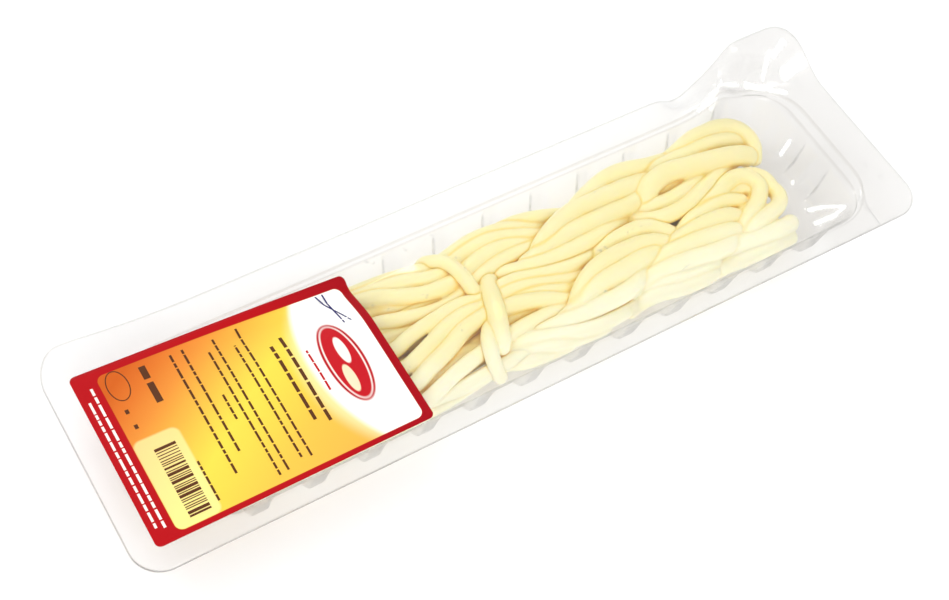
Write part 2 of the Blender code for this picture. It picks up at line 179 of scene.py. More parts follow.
FAR_ROPE = (
    (3.2, ((185, 57, 8), (197, 62, 11), (210.5, 65, 12), (226, 63.5, 10), (244, 64, 7))),
    (3.5, ((166, 47, 9.5), (174.5, 52.5, 13), (187.5, 57, 13.5), (194.5, 57.5, 13), (209.5, 58, 12),
        (224, 58.5, 8.5))),
    (3.3, ((160, 47, 9.5), (166, 47.5, 11.5), (179.5, 50, 13), (186.5, 50.5, 13), (201.5, 51, 12),
        (208, 51.5, 11), (221.5, 56.5, 7))),
    (3, ((150, 49.5, 8.5), (161, 45.5, 12), (176, 44, 12.5), (192.5, 45.5, 11.5),
        (207.5, 50, 7))),
    (3.9, ((213.5, 50, 6.5), (218, 53.5, 12), (221.5, 55, 13), (228, 56, 13.5), (234.5, 55, 13.5),
        (249, 52.5, 13.5), (255.5, 51.5, 12.5), (260.5, 50.5, 10.5), (263, 49, 7.5))),
    (3, ((218, 63, 7.5), (230, 60.5, 11.5), (243.5, 60.5, 12.5), (257, 60, 11),
        (262.5, 58.5, 9.5), (266.5, 56, 7))),
    (2.9, ((231.5, 63.5, 6), (234.5, 63, 9.5), (238.5, 63.5, 12), (244.5, 65, 13),
        (251.5, 65.5, 13), (258, 65, 13), (263.5, 62, 12.5), (266, 58, 11.5), (266, 53.5, 10.5),
        (264.5, 50, 9), (263, 47.5, 6.5))),
    (2.6, ((216, 52, 6.5), (221, 52.5, 8.5), (232.5, 53.5, 9), (247, 53.5, 7))),
    (2.9, ((207, 51.5, 5.5), (218, 47.5, 10.5), (224, 47, 11), (237, 49.5, 10), (252.5, 53.5, 7))),
    (3, ((206, 50, 5.5), (213, 42.5, 11), (224, 41, 12.5), (236.5, 44.5, 12), (250.5, 50, 10),
        (258.5, 53, 7))),
)
NEAR_ROPE = (
    (3, ((181.5, 38, 7.5), (187.5, 40, 10), (200.5, 41.5, 12), (207, 41, 12), (212.5, 38.5, 11),
        (216, 35, 10), (218.5, 31.5, 7))),
    (3.3, ((164, 21.5, 9.5), (168.5, 24.5, 11.5), (173, 28.5, 12.5), (178.5, 32, 13),
        (184.5, 34, 13.5), (199, 35, 13), (205.5, 34.5, 12), (211, 32.5, 10.5),
        (214.5, 30.5, 7.5))),
    (3.4, ((159, 22, 9.5), (164.5, 22.5, 11), (176.5, 27, 13), (190.5, 28.5, 13.5), (203, 30, 12),
        (208, 30, 9.5))),
    (3.2, ((150, 22, 9.5), (163, 21, 12), (176.5, 20.5, 12.5), (190, 22, 12), (195, 24.5, 11),
        (200.5, 28.5, 8))),
    (3, ((217.5, 32, 7), (222, 35, 10), (227.5, 37.5, 11), (240, 41, 12), (245.5, 43, 12.5),
        (251, 43.5, 12.5), (254.5, 41, 12.5), (255.5, 37, 12.5), (253.5, 33.5, 12.5),
        (244.5, 27.5, 12), (241, 25, 11), (239, 22, 8.5))),
    (3, ((243, 43, 7.5), (249, 44.5, 9), (254.5, 44.5, 9.5), (259, 42, 10), (260.5, 38.5, 10.5),
        (260.5, 34.5, 10.5), (260.5, 31, 11), (258, 27.5, 11.5), (253, 25.5, 12), (242, 23, 11.5),
        (239.5, 21.5, 9))),
    (2.9, ((214, 30.5, 8), (218.5, 33, 10.5), (224, 35.5, 12), (230, 37, 12), (237, 37.5, 12),
        (244, 36.5, 10.5), (250, 34.5, 8.5))),
    (3, ((208, 27.5, 9), (213.5, 30, 11.5), (219.5, 31.5, 12.5), (232, 31.5, 13), (238.5, 31, 12),
        (243.5, 29.5, 9))),
    (3.1, ((198, 24.5, 9), (203, 26.5, 11), (209.5, 27.5, 12.5), (216, 27.5, 13), (229, 26, 13),
        (235.5, 25.5, 11.5), (241, 25, 8.5))),
    (3.1, ((192, 20.5, 8.5), (197, 22.5, 10.5), (203.5, 23, 12), (210, 22.5, 12.5),
        (224.5, 20.5, 12.5), (231, 21, 11.5), (237.5, 23.5, 9))),
    (2.7, ((188, 20, 6.5), (193, 20.5, 8.5), (198.5, 20, 10), (212.5, 17.5, 10), (219, 17.5, 10),
        (226.5, 19.5, 7.5))),
    (2.9, ((184.5, 15.5, 5), (189.5, 17, 7.5), (195, 17, 9), (209, 15, 9), (216.5, 14.5, 9),
        (223.5, 16.5, 7))),
    (3.2, ((228.5, 19.5, 7.5), (233, 20, 10), (244.5, 18.5, 11), (255, 19, 10), (259.5, 20.5, 7), (260, 21, 4.5))),
    (2.9, ((233, 38.5, 8), (241.8, 39.3, 9.5), (249, 40.5, 9.5), (253.5, 37.3, 9.5),
        (252.5, 33.2, 9.5), (246, 31, 9), (238, 29.5, 8))),
    (2.8, ((221.5, 15, 5.5), (226.5, 16, 7.5), (233, 15, 8.5), (240, 14, 9), (251.5, 14, 8),
        (256.5, 15.5, 6), (257, 16, 4))),
)

# Painted highlights, white streaks where folds of the film catch the light: two ends (x, y), half width and
# strength
GLARES = (
    ((289.5, 68.8), (299, 70), 1.5, 0.9), ((286.5, 64), (281.5, 67.5), 0.8, 0.8),
    ((281, 68.5), (274.5, 72.8), 1.0, 0.8), ((261.5, 74.6), (271.5, 73.8), 0.6, 0.6),
    ((281.4, 71.8), (287.5, 75), 0.6, 0.6), ((288, 73.8), (295, 76.5), 0.7, 0.5),
    ((250.5, 70.6), (259, 72.5), 0.6, 0.9), ((259, 72.5), (264.5, 76), 0.5, 0.5),
    ((267, 41.5), (274, 45), 0.6, 0.9), ((261, 17), (267, 15.8), 0.7, 0.85),
    ((267, 15.8), (274, 12.5), 0.6, 0.85), ((260, 11.5), (268, 11), 0.9, 0.6),
    ((268, 11), (274, 12.5), 0.5, 0.7), ((263, 29), (264, 30), 0.5, 0.6),
)

# Faint grey lines of the seal: two ends (x, y), half width and strength
SEAL_LINES = (
    ((281, 1), (281.4, 9), 0.3, 0.8), ((281.4, 9), (287, 19), 0.3, 0.45),
    ((296, 12), (291, 30), 0.3, 0.2), ((291, 30), (292.5, 66), 0.3, 0.2),
    *(((280.2, 6 + 1.3 * i), (282.4, 7.2 + 1.3 * i), 0.28, 0.45) for i in range(6)),
)

# Creases of the film: two ends (x, y), height and half width
CREASES = (
    ((252, 72), (262, 76.5), 0.5, 0.9),
    ((262, 76.5), (268, 81.5), 0.8, 0.9),
    ((277, 76), (282, 72), 0.35, 0.9),
    ((282, 72), (286, 65), 0.3, 0.9),
    ((278, 76.5), (301, 75), 0.35, 1.4),
    ((279, 80), (296, 80.5), 0.25, 1.2),
    ((265, 40.5), (275, 45.5), 0.2, 0.9),
    ((270, 31), (279, 40), 0.12, 1.0),
    ((270, 31), (263, 25), 0.12, 1.0),
    ((270, 31), (272, 22), 0.1, 1.0),
    ((270, 31), (261, 33), 0.1, 1.0),
    ((256, 9), (262, 20), 0.3, 0.8),
    ((261, 17), (273, 12.5), 0.3, 1.6),
    ((258, 8), (268, 10), 0.3, 0.9),
    ((263, 28), (264.5, 30), 0.3, 0.6),
)


# ---------------------------------------------------------------- places and shapes


def smooth(value):
    """0 below 0, 1 above 1 and an even ramp between."""
    clipped = min(max(value, 0.0), 1.0)
    return clipped * clipped * (3 - 2 * clipped)


def bell(value, middle, spread):
    return math.exp(-(((value - middle) / spread) ** 2))


def at(x, y, z):
    """A place in the pack, in mm, as a point of the scene."""
    return Vector(((x - PACK_LENGTH / 2) * MM, (y - PACK_WIDTH / 2) * MM, z * MM))


def outside_rim(x, y):
    """How far a place on the flange lies outside the rim of the cavity."""
    across = max(RIM_LEFT + RIM_CORNER - x, x - RIM_RIGHT + RIM_CORNER, 0.0)
    along = max(RIM_NEAR + RIM_CORNER - y, y - RIM_FAR + RIM_CORNER, 0.0)
    return math.hypot(across, along) - RIM_CORNER


def rise(x, y):
    """Height of the bent flange or film above the flat pack, as in the CAD frame."""
    out = outside_rim(x, y)
    bent = 19.0 * smooth((x - 252.0) / 26.0)
    bent *= smooth((y - 61.0) / 22.0) * smooth(out / 8.0)
    bump = 7.0 * bell(x, 260.0, 8.5) * bell(y, RIM_FAR, 5.0)
    edge = smooth((y - RIM_FAR) / (PACK_WIDTH - RIM_FAR))
    dip = 4.0 * bell(x, 249.0, 6.0) * edge
    left = 6.0 * bell(x, 0.0, 28.0) * edge
    return bent + bump - dip + left


def ripple(x, y, size, seed=0.0):
    """Smooth unevenness between -1 and 1."""
    return noise.noise(Vector((x / size, y / size, seed)))


def bend(x, y, z, follow=1.0):
    """A point of the flat pack moved to the bent pack, in scene units."""
    up = rise(x, y) * follow
    waviness = 0.5 * ripple(x, y, 60.0, 3.0) * smooth(outside_rim(x, y) / 10.0)
    pulled = x - 0.39 * up * smooth((x - 252.0) / 26.0)
    return at(pulled, y - 0.05 * max(up, 0.0), z + up + waviness * follow)


def from_segment(x, y, first, second):
    """Distance from (x, y) to the straight piece between two points."""
    along_x, along_y = second[0] - first[0], second[1] - first[1]
    length = along_x**2 + along_y**2
    share = ((x - first[0]) * along_x + (y - first[1]) * along_y) / length
    share = min(max(share, 0.0), 1.0)
    return math.hypot(x - first[0] - share * along_x, y - first[1] - share * along_y)


def film_height(x, y):
    """Top of the film over the flat pack: tight on the flange, loose over the cavity."""
    inside = smooth((-outside_rim(x, y) - 1.0) / 9.0)
    across = smooth((x - 30.0) / 72.0) * (1 - smooth((x - 103.0) / 40.0))
    sag = 4.6 * across * smooth((y - 47.5) / 20.0) * inside
    loose = 0.35 * ripple(x, y, 34.0) + 0.22 * ripple(x, y, 11.0, 5.0)
    height = TRAY_TOP + 0.35 - sag + loose * inside
    for first, second, tall, wide in CREASES:
        gap = from_segment(x, y, first, second)
        if gap < 3 * wide:
            height += tall * math.exp(-((gap / wide) ** 2))
    return height


def new_object(name, mesh, *materials, body="root"):
    """Links a finished mesh that rides on the pack."""
    thing = bpy.data.objects.new(name, mesh)
    bpy.context.scene.collection.objects.link(thing)
    for material in materials:
        mesh.materials.append(material)
    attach(thing, body)
    return thing


def baked(thing):
    """The object's evaluated mesh, with its modifiers applied and removed."""
    bpy.context.view_layer.update()
    graph = bpy.context.evaluated_depsgraph_get()
    mesh = bpy.data.meshes.new_from_object(thing.evaluated_get(graph))
    thing.modifiers.clear()
    thing.data = mesh
    return mesh


def mesh_of(sheet, name):
    """The finished mesh of a bmesh."""
    mesh = bpy.data.meshes.new(name)
    sheet.to_mesh(mesh)
    sheet.free()
    return mesh


def thicken(thing, thickness):
    """Gives a sheet its thickness, below it."""
    solid = thing.modifiers.new("Thickness", "SOLIDIFY")
    solid.thickness = thickness
    solid.offset = -1.0
    baked(thing).shade_smooth()


def evenly(start, end, steps):
    return [start + (end - start) * i / steps for i in range(steps)]


def rounded_sheet(left, right, near, far, radius, middle, rows, height):
    """A bmesh sheet with rounded corners whose points lie where height(x, y) puts them."""
    arc = [radius * (1 - math.cos(math.pi / 2 * i / 8)) for i in range(8)]
    columns = [left + a for a in arc] + middle + [right - radius] + [right - a for a in arc[::-1]]
    sheet = bmesh.new()
    flat = sheet.verts.layers.float_vector.new("flat_place")
    lines = []
    for x in columns:
        from_end = min(x - left, right - x)
        cut = 0.0
        if from_end < radius:
            cut = radius - math.sqrt(max(radius**2 - (radius - from_end) ** 2, 0.0))
        line = []
        for row in range(rows + 1):
            y = near + cut + (far - near - 2 * cut) * row / rows
            vertex = sheet.verts.new(height(x, y))
            vertex[flat] = Vector((x - left, y - near, 0.0)) * MM
            line.append(vertex)
        lines.append(line)
    for first, second in zip(lines, lines[1:]):
        for row in range(rows):
            sheet.faces.new((first[row], second[row], second[row + 1], first[row + 1]))
    return sheet


# ---------------------------------------------------------------- materials


def linear(red, green, blue):
    """A screen colour of 0 to 255 as the linear colour that a shader takes."""
    parts = []
    for value in (red, green, blue):
        value /= 255
        parts.append(value / 12.92 if value <= 0.04045 else ((value + 0.055) / 1.055) ** 2.4)
    return (*parts, 1.0)


class Tree:
    """The node tree of a material or a world, built by short calls."""

    def __init__(self, owner):
        owner.use_nodes = True
        self.owner = owner
        self.nodes = owner.node_tree.nodes
        self.links = owner.node_tree.links

    @property
    def shader(self):
        return self.nodes["Principled BSDF"]

    def shade_with(self, shader):
        """Puts another shader in the place of the first one."""
        self.nodes.remove(self.shader)
        self.links.new(shader.outputs[0], self.nodes["Material Output"].inputs["Surface"])

    def add(self, kind, inputs=None, **settings):
        node = self.nodes.new("ShaderNode" + kind)
        for key, value in settings.items():
            setattr(node, key, value)
        for key, value in (inputs or {}).items():
            self.plug(node.inputs[key], value)
        return node

    def plug(self, socket, value):
        if isinstance(value, bpy.types.NodeSocket):
            self.links.new(value, socket)
        else:
            socket.default_value = value

    def math(self, operation, first, second=0.0, clamp=False):
        node = self.add("Math", {0: first, 1: second}, operation=operation, use_clamp=clamp)
        return node.outputs[0]

    def mix(self, share, first, second):
        node = self.add("Mix", {"Factor": share}, data_type="RGBA")
        self.plug(node.inputs[6], first)
        self.plug(node.inputs[7], second)
        return node.outputs[2]

    def remap(self, value, low, high, to_low=0.0, to_high=1.0):
        inputs = {"Value": value, 1: low, 2: high, 3: to_low, 4: to_high}
        return self.add("MapRange", inputs, interpolation_type="SMOOTHSTEP").outputs[0]

    def attribute(self, name, output="Fac"):
        return self.add("Attribute", attribute_name=name).outputs[output]

    def vector(self, operation, first, second=(0, 0, 0), output=0):
        inputs = {0: first, 1: second}
        return self.add("VectorMath", inputs, operation=operation).outputs[output]

    def object_place(self):
        return self.add("TexCoord").outputs["Object"]

    def noise(self, scale, detail=2.0, place=None, roughness=0.5):
        inputs = {"Vector": place or self.object_place(), "Scale": scale, "Detail": detail}
        inputs["Roughness"] = roughness
        return self.add("TexNoise", inputs).outputs["Fac"]

    def bump(self, height, distance, strength=1.0):
        inputs = {"Height": height, "Distance": distance * MM, "Strength": strength}
        return self.add("Bump", inputs).outputs["Normal"]


def new_tree(name):
    return Tree(bpy.data.materials.new(name))


def mirror_share(tree, facing, least):
    """How much thin plastic or water mirrors: little face on, nearly all at a glance."""
    glance = tree.math("MULTIPLY", tree.math("POWER", facing, 4.0), 0.9)
    return tree.math("ADD", glance, least)


def clear_material(name, tint, edge_tint, line_tint, haze_and_painted_glare, gloss, wave, wave_size):
    """Thin clear plastic: mostly see-through, with grey edges and lines, a little milkiness and a gloss. On the
    tray its grey is painted shade, and the film carries painted highlights; the milky part glows a little as
    painted light.
    """
    tree = new_tree(name)
    height = tree.noise(1000.0 / wave_size, 3.0)
    normal = tree.bump(height, wave)
    facing = tree.add("LayerWeight", {"Blend": 0.5, "Normal": normal}).outputs["Facing"]
    through = tree.mix(tree.math("POWER", facing, 3.0), tint, edge_tint)
    # Grey: the seal lines of the film, and on the tray painted shade at its folds, on its near side and at its
    # bent end
    through = tree.mix(tree.attribute("grey"), through, line_tint)
    clear = tree.add("BsdfTransparent", {"Color": through})
    white = (0.95, 0.95, 0.95, 1.0)
    milk = tree.add("BsdfDiffuse", {"Color": white, "Normal": normal})
    glow = tree.add("BsdfTranslucent", {"Color": white, "Normal": normal})
    cloudy = tree.add("MixShader", {0: 0.5, 1: milk.outputs[0], 2: glow.outputs[0]})
    # Painted light: this glow lights the plastic's milkiness a little, and much more where the painted highlight
    # streaks whiten the film
    lit = tree.add("Emission", {"Color": white, "Strength": STREAK_GLOW})
    cloudy = tree.add("AddShader", {0: cloudy.outputs[0], 1: lit.outputs[0]})
    haze_and_painted_glare = tree.math("ADD", tree.attribute("haze_and_painted_glare"), haze_and_painted_glare)
    body = tree.add("MixShader", {0: haze_and_painted_glare, 1: clear.outputs[0], 2: cloudy.outputs[0]})
    rough = tree.remap(height, 0.3, 0.7, gloss * 0.8, gloss * 1.3)
    shine = tree.add("BsdfGlossy", {"Roughness": rough, "Normal": normal})
    share = mirror_share(tree, facing, 0.035)
    tree.shade_with(tree.add("MixShader", {0: share, 1: body.outputs[0], 2: shine.outputs[0]}))
    return tree.owner


def tray_material():
    tint, edge_tint, line_tint = (0.997, 0.996, 0.994, 1), (0.988, 0.984, 0.98, 1), (0.88, 0.87, 0.855, 1)
    return clear_material("clear_tray_plastic", tint, edge_tint, line_tint, 0.04, 0.10, 0.05, 14.0)


def film_material():
    tint, edge_tint, line_tint = (0.998, 0.998, 0.998, 1), (0.96, 0.96, 0.96, 1), (0.9, 0.9, 0.9, 1)
    return clear_material("clear_lid_film", tint, edge_tint, line_tint, 0.008, 0.05, 0.03, 9.0)


def cheese_material(cream, golden):
    """Pale, moist cheese: creamy where it is open to the light, with painted shade that turns it golden between
    strands and painted light that makes it paler towards the near side.
    """
    tree = new_tree("string_cheese")
    nook, crease = tree.attribute("nook"), tree.attribute("crease")
    cloud = tree.remap(tree.noise(90.0, 3.0), 0.35, 0.7, 0.0, 0.35)
    colour = tree.mix(cloud, cream, linear(255, 240, 172))
    # Painted shade: golden in the nooks and creases between strands, where shade falls
    colour = tree.mix(tree.remap(nook, 0.26, 0.68), colour, linear(255, 230, 138))
    colour = tree.mix(tree.remap(crease, 0.0, 1.0, 0.0, 0.75), colour, linear(255, 222, 112))
    # Painted light: the strands towards the near side are painted paler, up to 72%, as if lit more strongly there
    near = tree.add("SeparateXYZ", {0: tree.object_place()}).outputs[1]
    colour = tree.mix(tree.remap(near, -9 * MM, -24 * MM, 0.0, 0.72), colour, linear(255, 249, 226))
    # Painted shade: the deepest nooks take the golden colour
    colour = tree.mix(tree.remap(nook, 0.45, 0.85), colour, golden)
    shader = tree.shader
    tree.plug(shader.inputs["Base Color"], colour)
    fibre = tree.noise(5.0, 4.0, tree.attribute("run", "Vector"))
    soft = tree.noise(200.0, 2.0)
    height = tree.math("ADD", tree.math("MULTIPLY", fibre, 0.7), tree.math("MULTIPLY", soft, 0.5))
    tree.plug(shader.inputs["Normal"], tree.bump(height, 0.12))
    tree.plug(shader.inputs["Roughness"], tree.remap(soft, 0.3, 0.7, 0.3, 0.45))
    shader.inputs["Subsurface Weight"].default_value = 0.6
    shader.inputs["Subsurface Radius"].default_value = (1.0, 0.82, 0.45)
    shader.inputs["Subsurface Scale"].default_value = 1.3 * MM
    shader.inputs["IOR"].default_value = 1.42
    return tree.owner


def drop_material():
    tree = new_tree("water_drops")
    clear = tree.add("BsdfTransparent", {"Color": (0.97, 0.97, 0.97, 1)})
    normal = tree.bump(tree.noise(900.0, 1.0), 0.02)
    shine = tree.add("BsdfGlossy", {"Roughness": 0.03, "Normal": normal})
    facing = tree.add("LayerWeight", {"Blend": 0.5}).outputs["Facing"]
    share = mirror_share(tree, facing, 0.05)
    tree.shade_with(tree.add("MixShader", {0: share, 1: clear.outputs[0], 2: shine.outputs[0]}))
    return tree.owner


def ink_material(name, colour, roughness=0.35):
    """Printed ink with the slight mottling of a film label."""
    tree = new_tree(name)
    mottle = tree.remap(tree.noise(260.0, 3.0), 0.3, 0.7, 0.0, 0.12)
    lighter = tuple(min(part * 1.25 + 0.01, 1.0) for part in colour[:3]) + (1.0,)
    tree.plug(tree.shader.inputs["Base Color"], tree.mix(mottle, colour, lighter))
    tree.plug(tree.shader.inputs["Normal"], tree.bump(tree.noise(500.0, 2.0), 0.01))
    tree.shader.inputs["Roughness"].default_value = roughness
    tree.shader.inputs["Specular IOR Level"].default_value = 0.08
    return tree.owner


def box_inside(tree, place, box, radius, soft=0.12):
    """1 inside a rounded box (left, right, near, far) on the label and 0 outside, as a socket."""
    left, right, near, far = box
    middle = ((left + right) / 2 * MM, (near + far) / 2 * MM, 0)
    half = ((right - left) / 2 - radius, (far - near) / 2 - radius, 1.0)
    folded = tree.vector("ABSOLUTE", tree.vector("SUBTRACT", place, middle))
    beyond = tree.vector("SUBTRACT", folded, tuple(part * MM for part in half))
    gap = tree.vector("LENGTH", tree.vector("MAXIMUM", beyond), output="Value")
    return tree.remap(gap, (radius - soft) * MM, (radius + soft) * MM, 1.0, 0.0)


def oval_inside(tree, place, middle, half, soft=0.04):
    """1 inside an upright oval on the label and 0 outside, as a socket."""
    moved = tree.vector("SUBTRACT", place, (middle[0] * MM, middle[1] * MM, 0))
    scaled = tree.vector("DIVIDE", moved, (half[0] * MM, half[1] * MM, 1))
    reach = tree.vector("LENGTH", scaled, output="Value")
    return tree.remap(reach, 1 - soft, 1 + soft, 1.0, 0.0)


FIELD_STOPS = (
    (0.0, (246, 180, 76)), (0.25, (248, 196, 76)), (0.41, (249, 212, 78)), (0.51, (249, 219, 80)),
    (0.6, (247, 202, 76)), (0.7, (242, 176, 68)), (0.81, (233, 144, 58)), (0.91, (222, 118, 44)),
    (1.0, (208, 98, 32)),
)
FIELD_BOX, FIELD_CORNER = (7.6, 92.0, 2.0, 61.4), 2.6
PANEL_BOX = (7.6, 22.5, 2.0, 35.0)
WHITE_MIDDLE, WHITE_HALF = (106.2, 35.2), (38.0, 50.0)
GLOW_MIDDLE, GLOW_HALF = (106.2, 31.8), (41.6, 45.0)
MEDAL_MIDDLE, MEDAL_HALF = (79.4, 32.0), (6.4, 16.6)


def field_colour(tree, u, v):
    """The warm field of the label: yellow across the middle, orange towards two corners."""
    across, along = tree.math("MULTIPLY", u, -0.603 / MM), tree.math("MULTIPLY", v, 0.797 / MM)
    share = tree.math("DIVIDE", tree.math("ADD", tree.math("ADD", across, along), 41.9), 80.0)
    ramp = tree.add("ValToRGB", {"Fac": share})
    colours = ramp.color_ramp.elements
    while len(colours) < len(FIELD_STOPS):
        colours.new(0.5)
    for element, (position, colour) in zip(colours, FIELD_STOPS):
        element.position = position
        element.color = linear(*colour)
    return ramp.outputs[0]


def medallion(tree, place, colour):
    """A plain oval medallion: a red band, a pale line, a red middle and two leaf shapes."""
    for inset, shade in ((0.0, (186, 22, 34)), (0.9, (250, 238, 232)), (1.4, (196, 28, 38))):
        half = (MEDAL_HALF[0] - inset, MEDAL_HALF[1] - inset)
        colour = tree.mix(oval_inside(tree, place, MEDAL_MIDDLE, half), colour, linear(*shade))
    for side, shade in ((-6.5, (246, 226, 190)), (4.5, (250, 240, 232))):
        middle = (MEDAL_MIDDLE[0] + side * 0.2, MEDAL_MIDDLE[1] + side)
        leaf = oval_inside(tree, place, middle, (1.7, 5.6), 0.08)
        colour = tree.mix(leaf, colour, linear(*shade))
    return colour


def label_material(border):
    """The label's print: a red border, a warm field, a white end and a plain medallion."""
    tree = new_tree("label_print")
    place = tree.attribute("flat_place", "Vector")
    parts = tree.add("SeparateXYZ", {0: place})
    u, v = parts.outputs[0], parts.outputs[1]
    red = tree.mix(tree.remap(u, 55 * MM, 95 * MM, 0.0, 0.6), border, linear(150, 8, 24))
    inside = box_inside(tree, place, FIELD_BOX, FIELD_CORNER)
    colour = tree.mix(inside, red, field_colour(tree, u, v))
    panel = tree.math("MULTIPLY", box_inside(tree, place, PANEL_BOX, 2.6, 0.5), inside)
    colour = tree.mix(tree.math("MULTIPLY", panel, 0.62), colour, linear(254, 243, 170))
    glow = tree.math("MULTIPLY", oval_inside(tree, place, GLOW_MIDDLE, GLOW_HALF, 0.07), inside)
    colour = tree.mix(tree.math("MULTIPLY", glow, 0.6), colour, linear(255, 246, 190))
    white = tree.math("MULTIPLY", oval_inside(tree, place, WHITE_MIDDLE, WHITE_HALF, 0.035), inside)
    colour = medallion(tree, place, tree.mix(white, colour, linear(255, 254, 250)))
    tree.plug(tree.shader.inputs["Base Color"], colour)
    sheen = tree.noise(420.0, 2.0)
    tree.plug(tree.shader.inputs["Normal"], tree.bump(sheen, 0.012))
    tree.plug(tree.shader.inputs["Roughness"], tree.remap(sheen, 0.3, 0.7, 0.3, 0.42))
    tree.shader.inputs["Specular IOR Level"].default_value = 0.08
    return tree.owner


# ---------------------------------------------------------------- the tray


def pillar_share(place, middles):
    """0 on the plain wall and 1 on the face of a pillar."""
    gap = min(abs(place - middle) for middle in middles)
    return 1.0 - smooth((gap - PILLAR_HALF_FACE) / (PILLAR_HALF_FOOT - PILLAR_HALF_FACE))


def wall_stations(start, end, middles):
    """(place, pillar share) along a straight wall, close together where a pillar turns."""
    places = {start, end}
    for middle in middles:
        for gap in (0.0, 1.3, 2.5, 2.85, 3.2, 3.55, 3.9, 6.3, 8.6):
            places |= {middle - gap, middle + gap}
    kept = sorted(place for place in places if start <= place <= end)
    return [(place, pillar_share(place, middles)) for place in kept]


def corner_path(share, start, corner, side, end, radius):
    """The point at a share of the way round one corner: straight, quarter circle, straight."""
    toward_x = 1 if corner > start else -1
    toward_y = 1 if end > side else -1
    if share < STRAIGHT_SHARE:
        run = abs(corner - start) - radius
        return start + toward_x * run * share / STRAIGHT_SHARE, side
    if share > 1 - STRAIGHT_SHARE:
        run = abs(end - side) - radius
        return corner, end - toward_y * run * (1 - share) / STRAIGHT_SHARE
    angle = math.pi / 2 * (share - STRAIGHT_SHARE) / (1 - 2 * STRAIGHT_SHARE)
    return (
        corner - toward_x * radius * (1 - math.sin(angle)),
        side + toward_y * radius * (1 - math.cos(angle)),
    )


def ring(left, right, near, far, radius, bulge=0.0, comb=0.0):
    """One closed line round the tray, anticlockwise from above. A pillar bulges out of it."""
    middles = [PILLAR_FIRST + PILLAR_PITCH * i for i in range(PILLARS_A_SIDE)]
    sides = wall_stations(SIDE_LEFT, SIDE_RIGHT, middles)[1:-1]
    ends = wall_stations(END_NEAR, END_FAR, END_PILLARS)[1:-1]
    steps = [i / CORNER_STEPS for i in range(CORNER_STEPS + 1)]
    out = bulge + comb
    points = [(x, near - NEAR_PILLAR_SHARE * out * share) for x, share in sides]
    points += [corner_path(t, SIDE_RIGHT, right, near, END_NEAR, radius) for t in steps]
    points += [(right + out * share, y) for y, share in ends]
    points += [corner_path(t, SIDE_RIGHT, right, far, END_FAR, radius) for t in steps[::-1]]
    points += [(x, far + out * share) for x, share in sides[::-1]]
    points += [corner_path(t, SIDE_LEFT, left, far, END_FAR, radius) for t in steps]
    points += [(left - out * share, y) for y, share in ends[::-1]]
    points += [corner_path(t, SIDE_LEFT, left, near, END_NEAR, radius) for t in steps[::-1]]
    return points


def inset_ring(side, end, radius, bulge=0.0, comb=0.0):
    box = (RIM_LEFT + end, RIM_RIGHT - end, RIM_NEAR + side, RIM_FAR - side)
    return ring(*box, radius, bulge, comb)


def painted_grey_of(x, line):
    """How grey the plastic is painted: thin lines of painted shade at its folds, and painted shade over all of it
    near the bent end.
    """
    end = smooth((x - 248.0) / 16.0)
    return max(0.52 * end, line * (0.6 + 0.4 * end))


def placed(points, height, follow=1.0, line=0.0):
    """The points of one line of the tray, each with how grey the plastic is painted there as painted shade."""
    ring_points = []
    for x, y in points:
        grey = painted_grey_of(x, line * (0.5 + 0.5 * smooth(y / 20.0)))
        ring_points.append((bend(x, y, height, follow), grey))
    return ring_points


def flange_rings():
    """The flat flange from its cut edge to the rim, with painted shade that makes it greyer on the near side."""
    edge = ring(0.0, PACK_LENGTH, 0.0, PACK_WIDTH, PACK_CORNER)
    rim = inset_ring(0.0, 0.0, RIM_CORNER)
    for share, lift in ((0, -0.25), (0, 0), (0.06, 0), (0.3, 0), (0.5, 0), (0.7, 0), (0.94, 0)):
        row = []
        for a, b in zip(edge, rim):
            x, y = a[0] + share * (b[0] - a[0]), a[1] + share * (b[1] - a[1])
            # Painted shade: a grey line along the cut edge, and the flange greyer towards the near side
            grey = 0.6 if share == 0 else 0.12 + 0.28 * (1 - smooth(y / 14.0))
            row.append((bend(x, y, TRAY_TOP + lift), painted_grey_of(x, grey)))
        yield row


def ledge_rings():
    """The rounded rim and the step that runs round the cavity below it."""
    # Each ring: inset at the sides, inset at the ends, corner radius, drop, and how grey a line of painted shade
    # it carries
    for side, end, radius, drop, grey in (
        (0.0, 0.0, 18.5, 0.0, 0.3), (0.25, 0.4, 18.3, 0.08, 1.0), (0.45, 0.8, 18.0, 0.35, 1.0),
        (0.6, 1.1, 17.6, 0.8, 0.8), (0.8, 1.6, 17.0, 1.1, 0.1), (1.1, 2.6, 16.2, 1.2, 0.0),
        (1.5, 3.8, 15.5, 1.22, 0.2), (1.8, 4.6, 13.8, 1.4, 1.0), (2.0, 5.6, 12.4, 1.8, 0.6),
    ):
        yield placed(inset_ring(side, end, radius), TRAY_TOP - drop, 1.0 - 0.1 * drop / 1.2, grey)


def wall_rings():
    """The drafted wall with its pillars, each with fine level ribs on its face."""
    for row in range(WALL_ROWS + 1):
        share = row / WALL_ROWS
        slope = WALL_DRAFT * WALL_DEEP * share
        bulge = PILLAR_FOOT_BULGE * share
        comb = RIB_HEIGHT * (row % 2) * smooth(min(share, 1 - share) / 0.08)
        points = inset_ring(2.1 + slope, 6.8 + slope, WALL_CORNER - slope, bulge, comb)
        height = TRAY_TOP - WALL_TOP_DROP - WALL_DEEP * share
        yield placed(points, height, 0.8 * (1 - share))


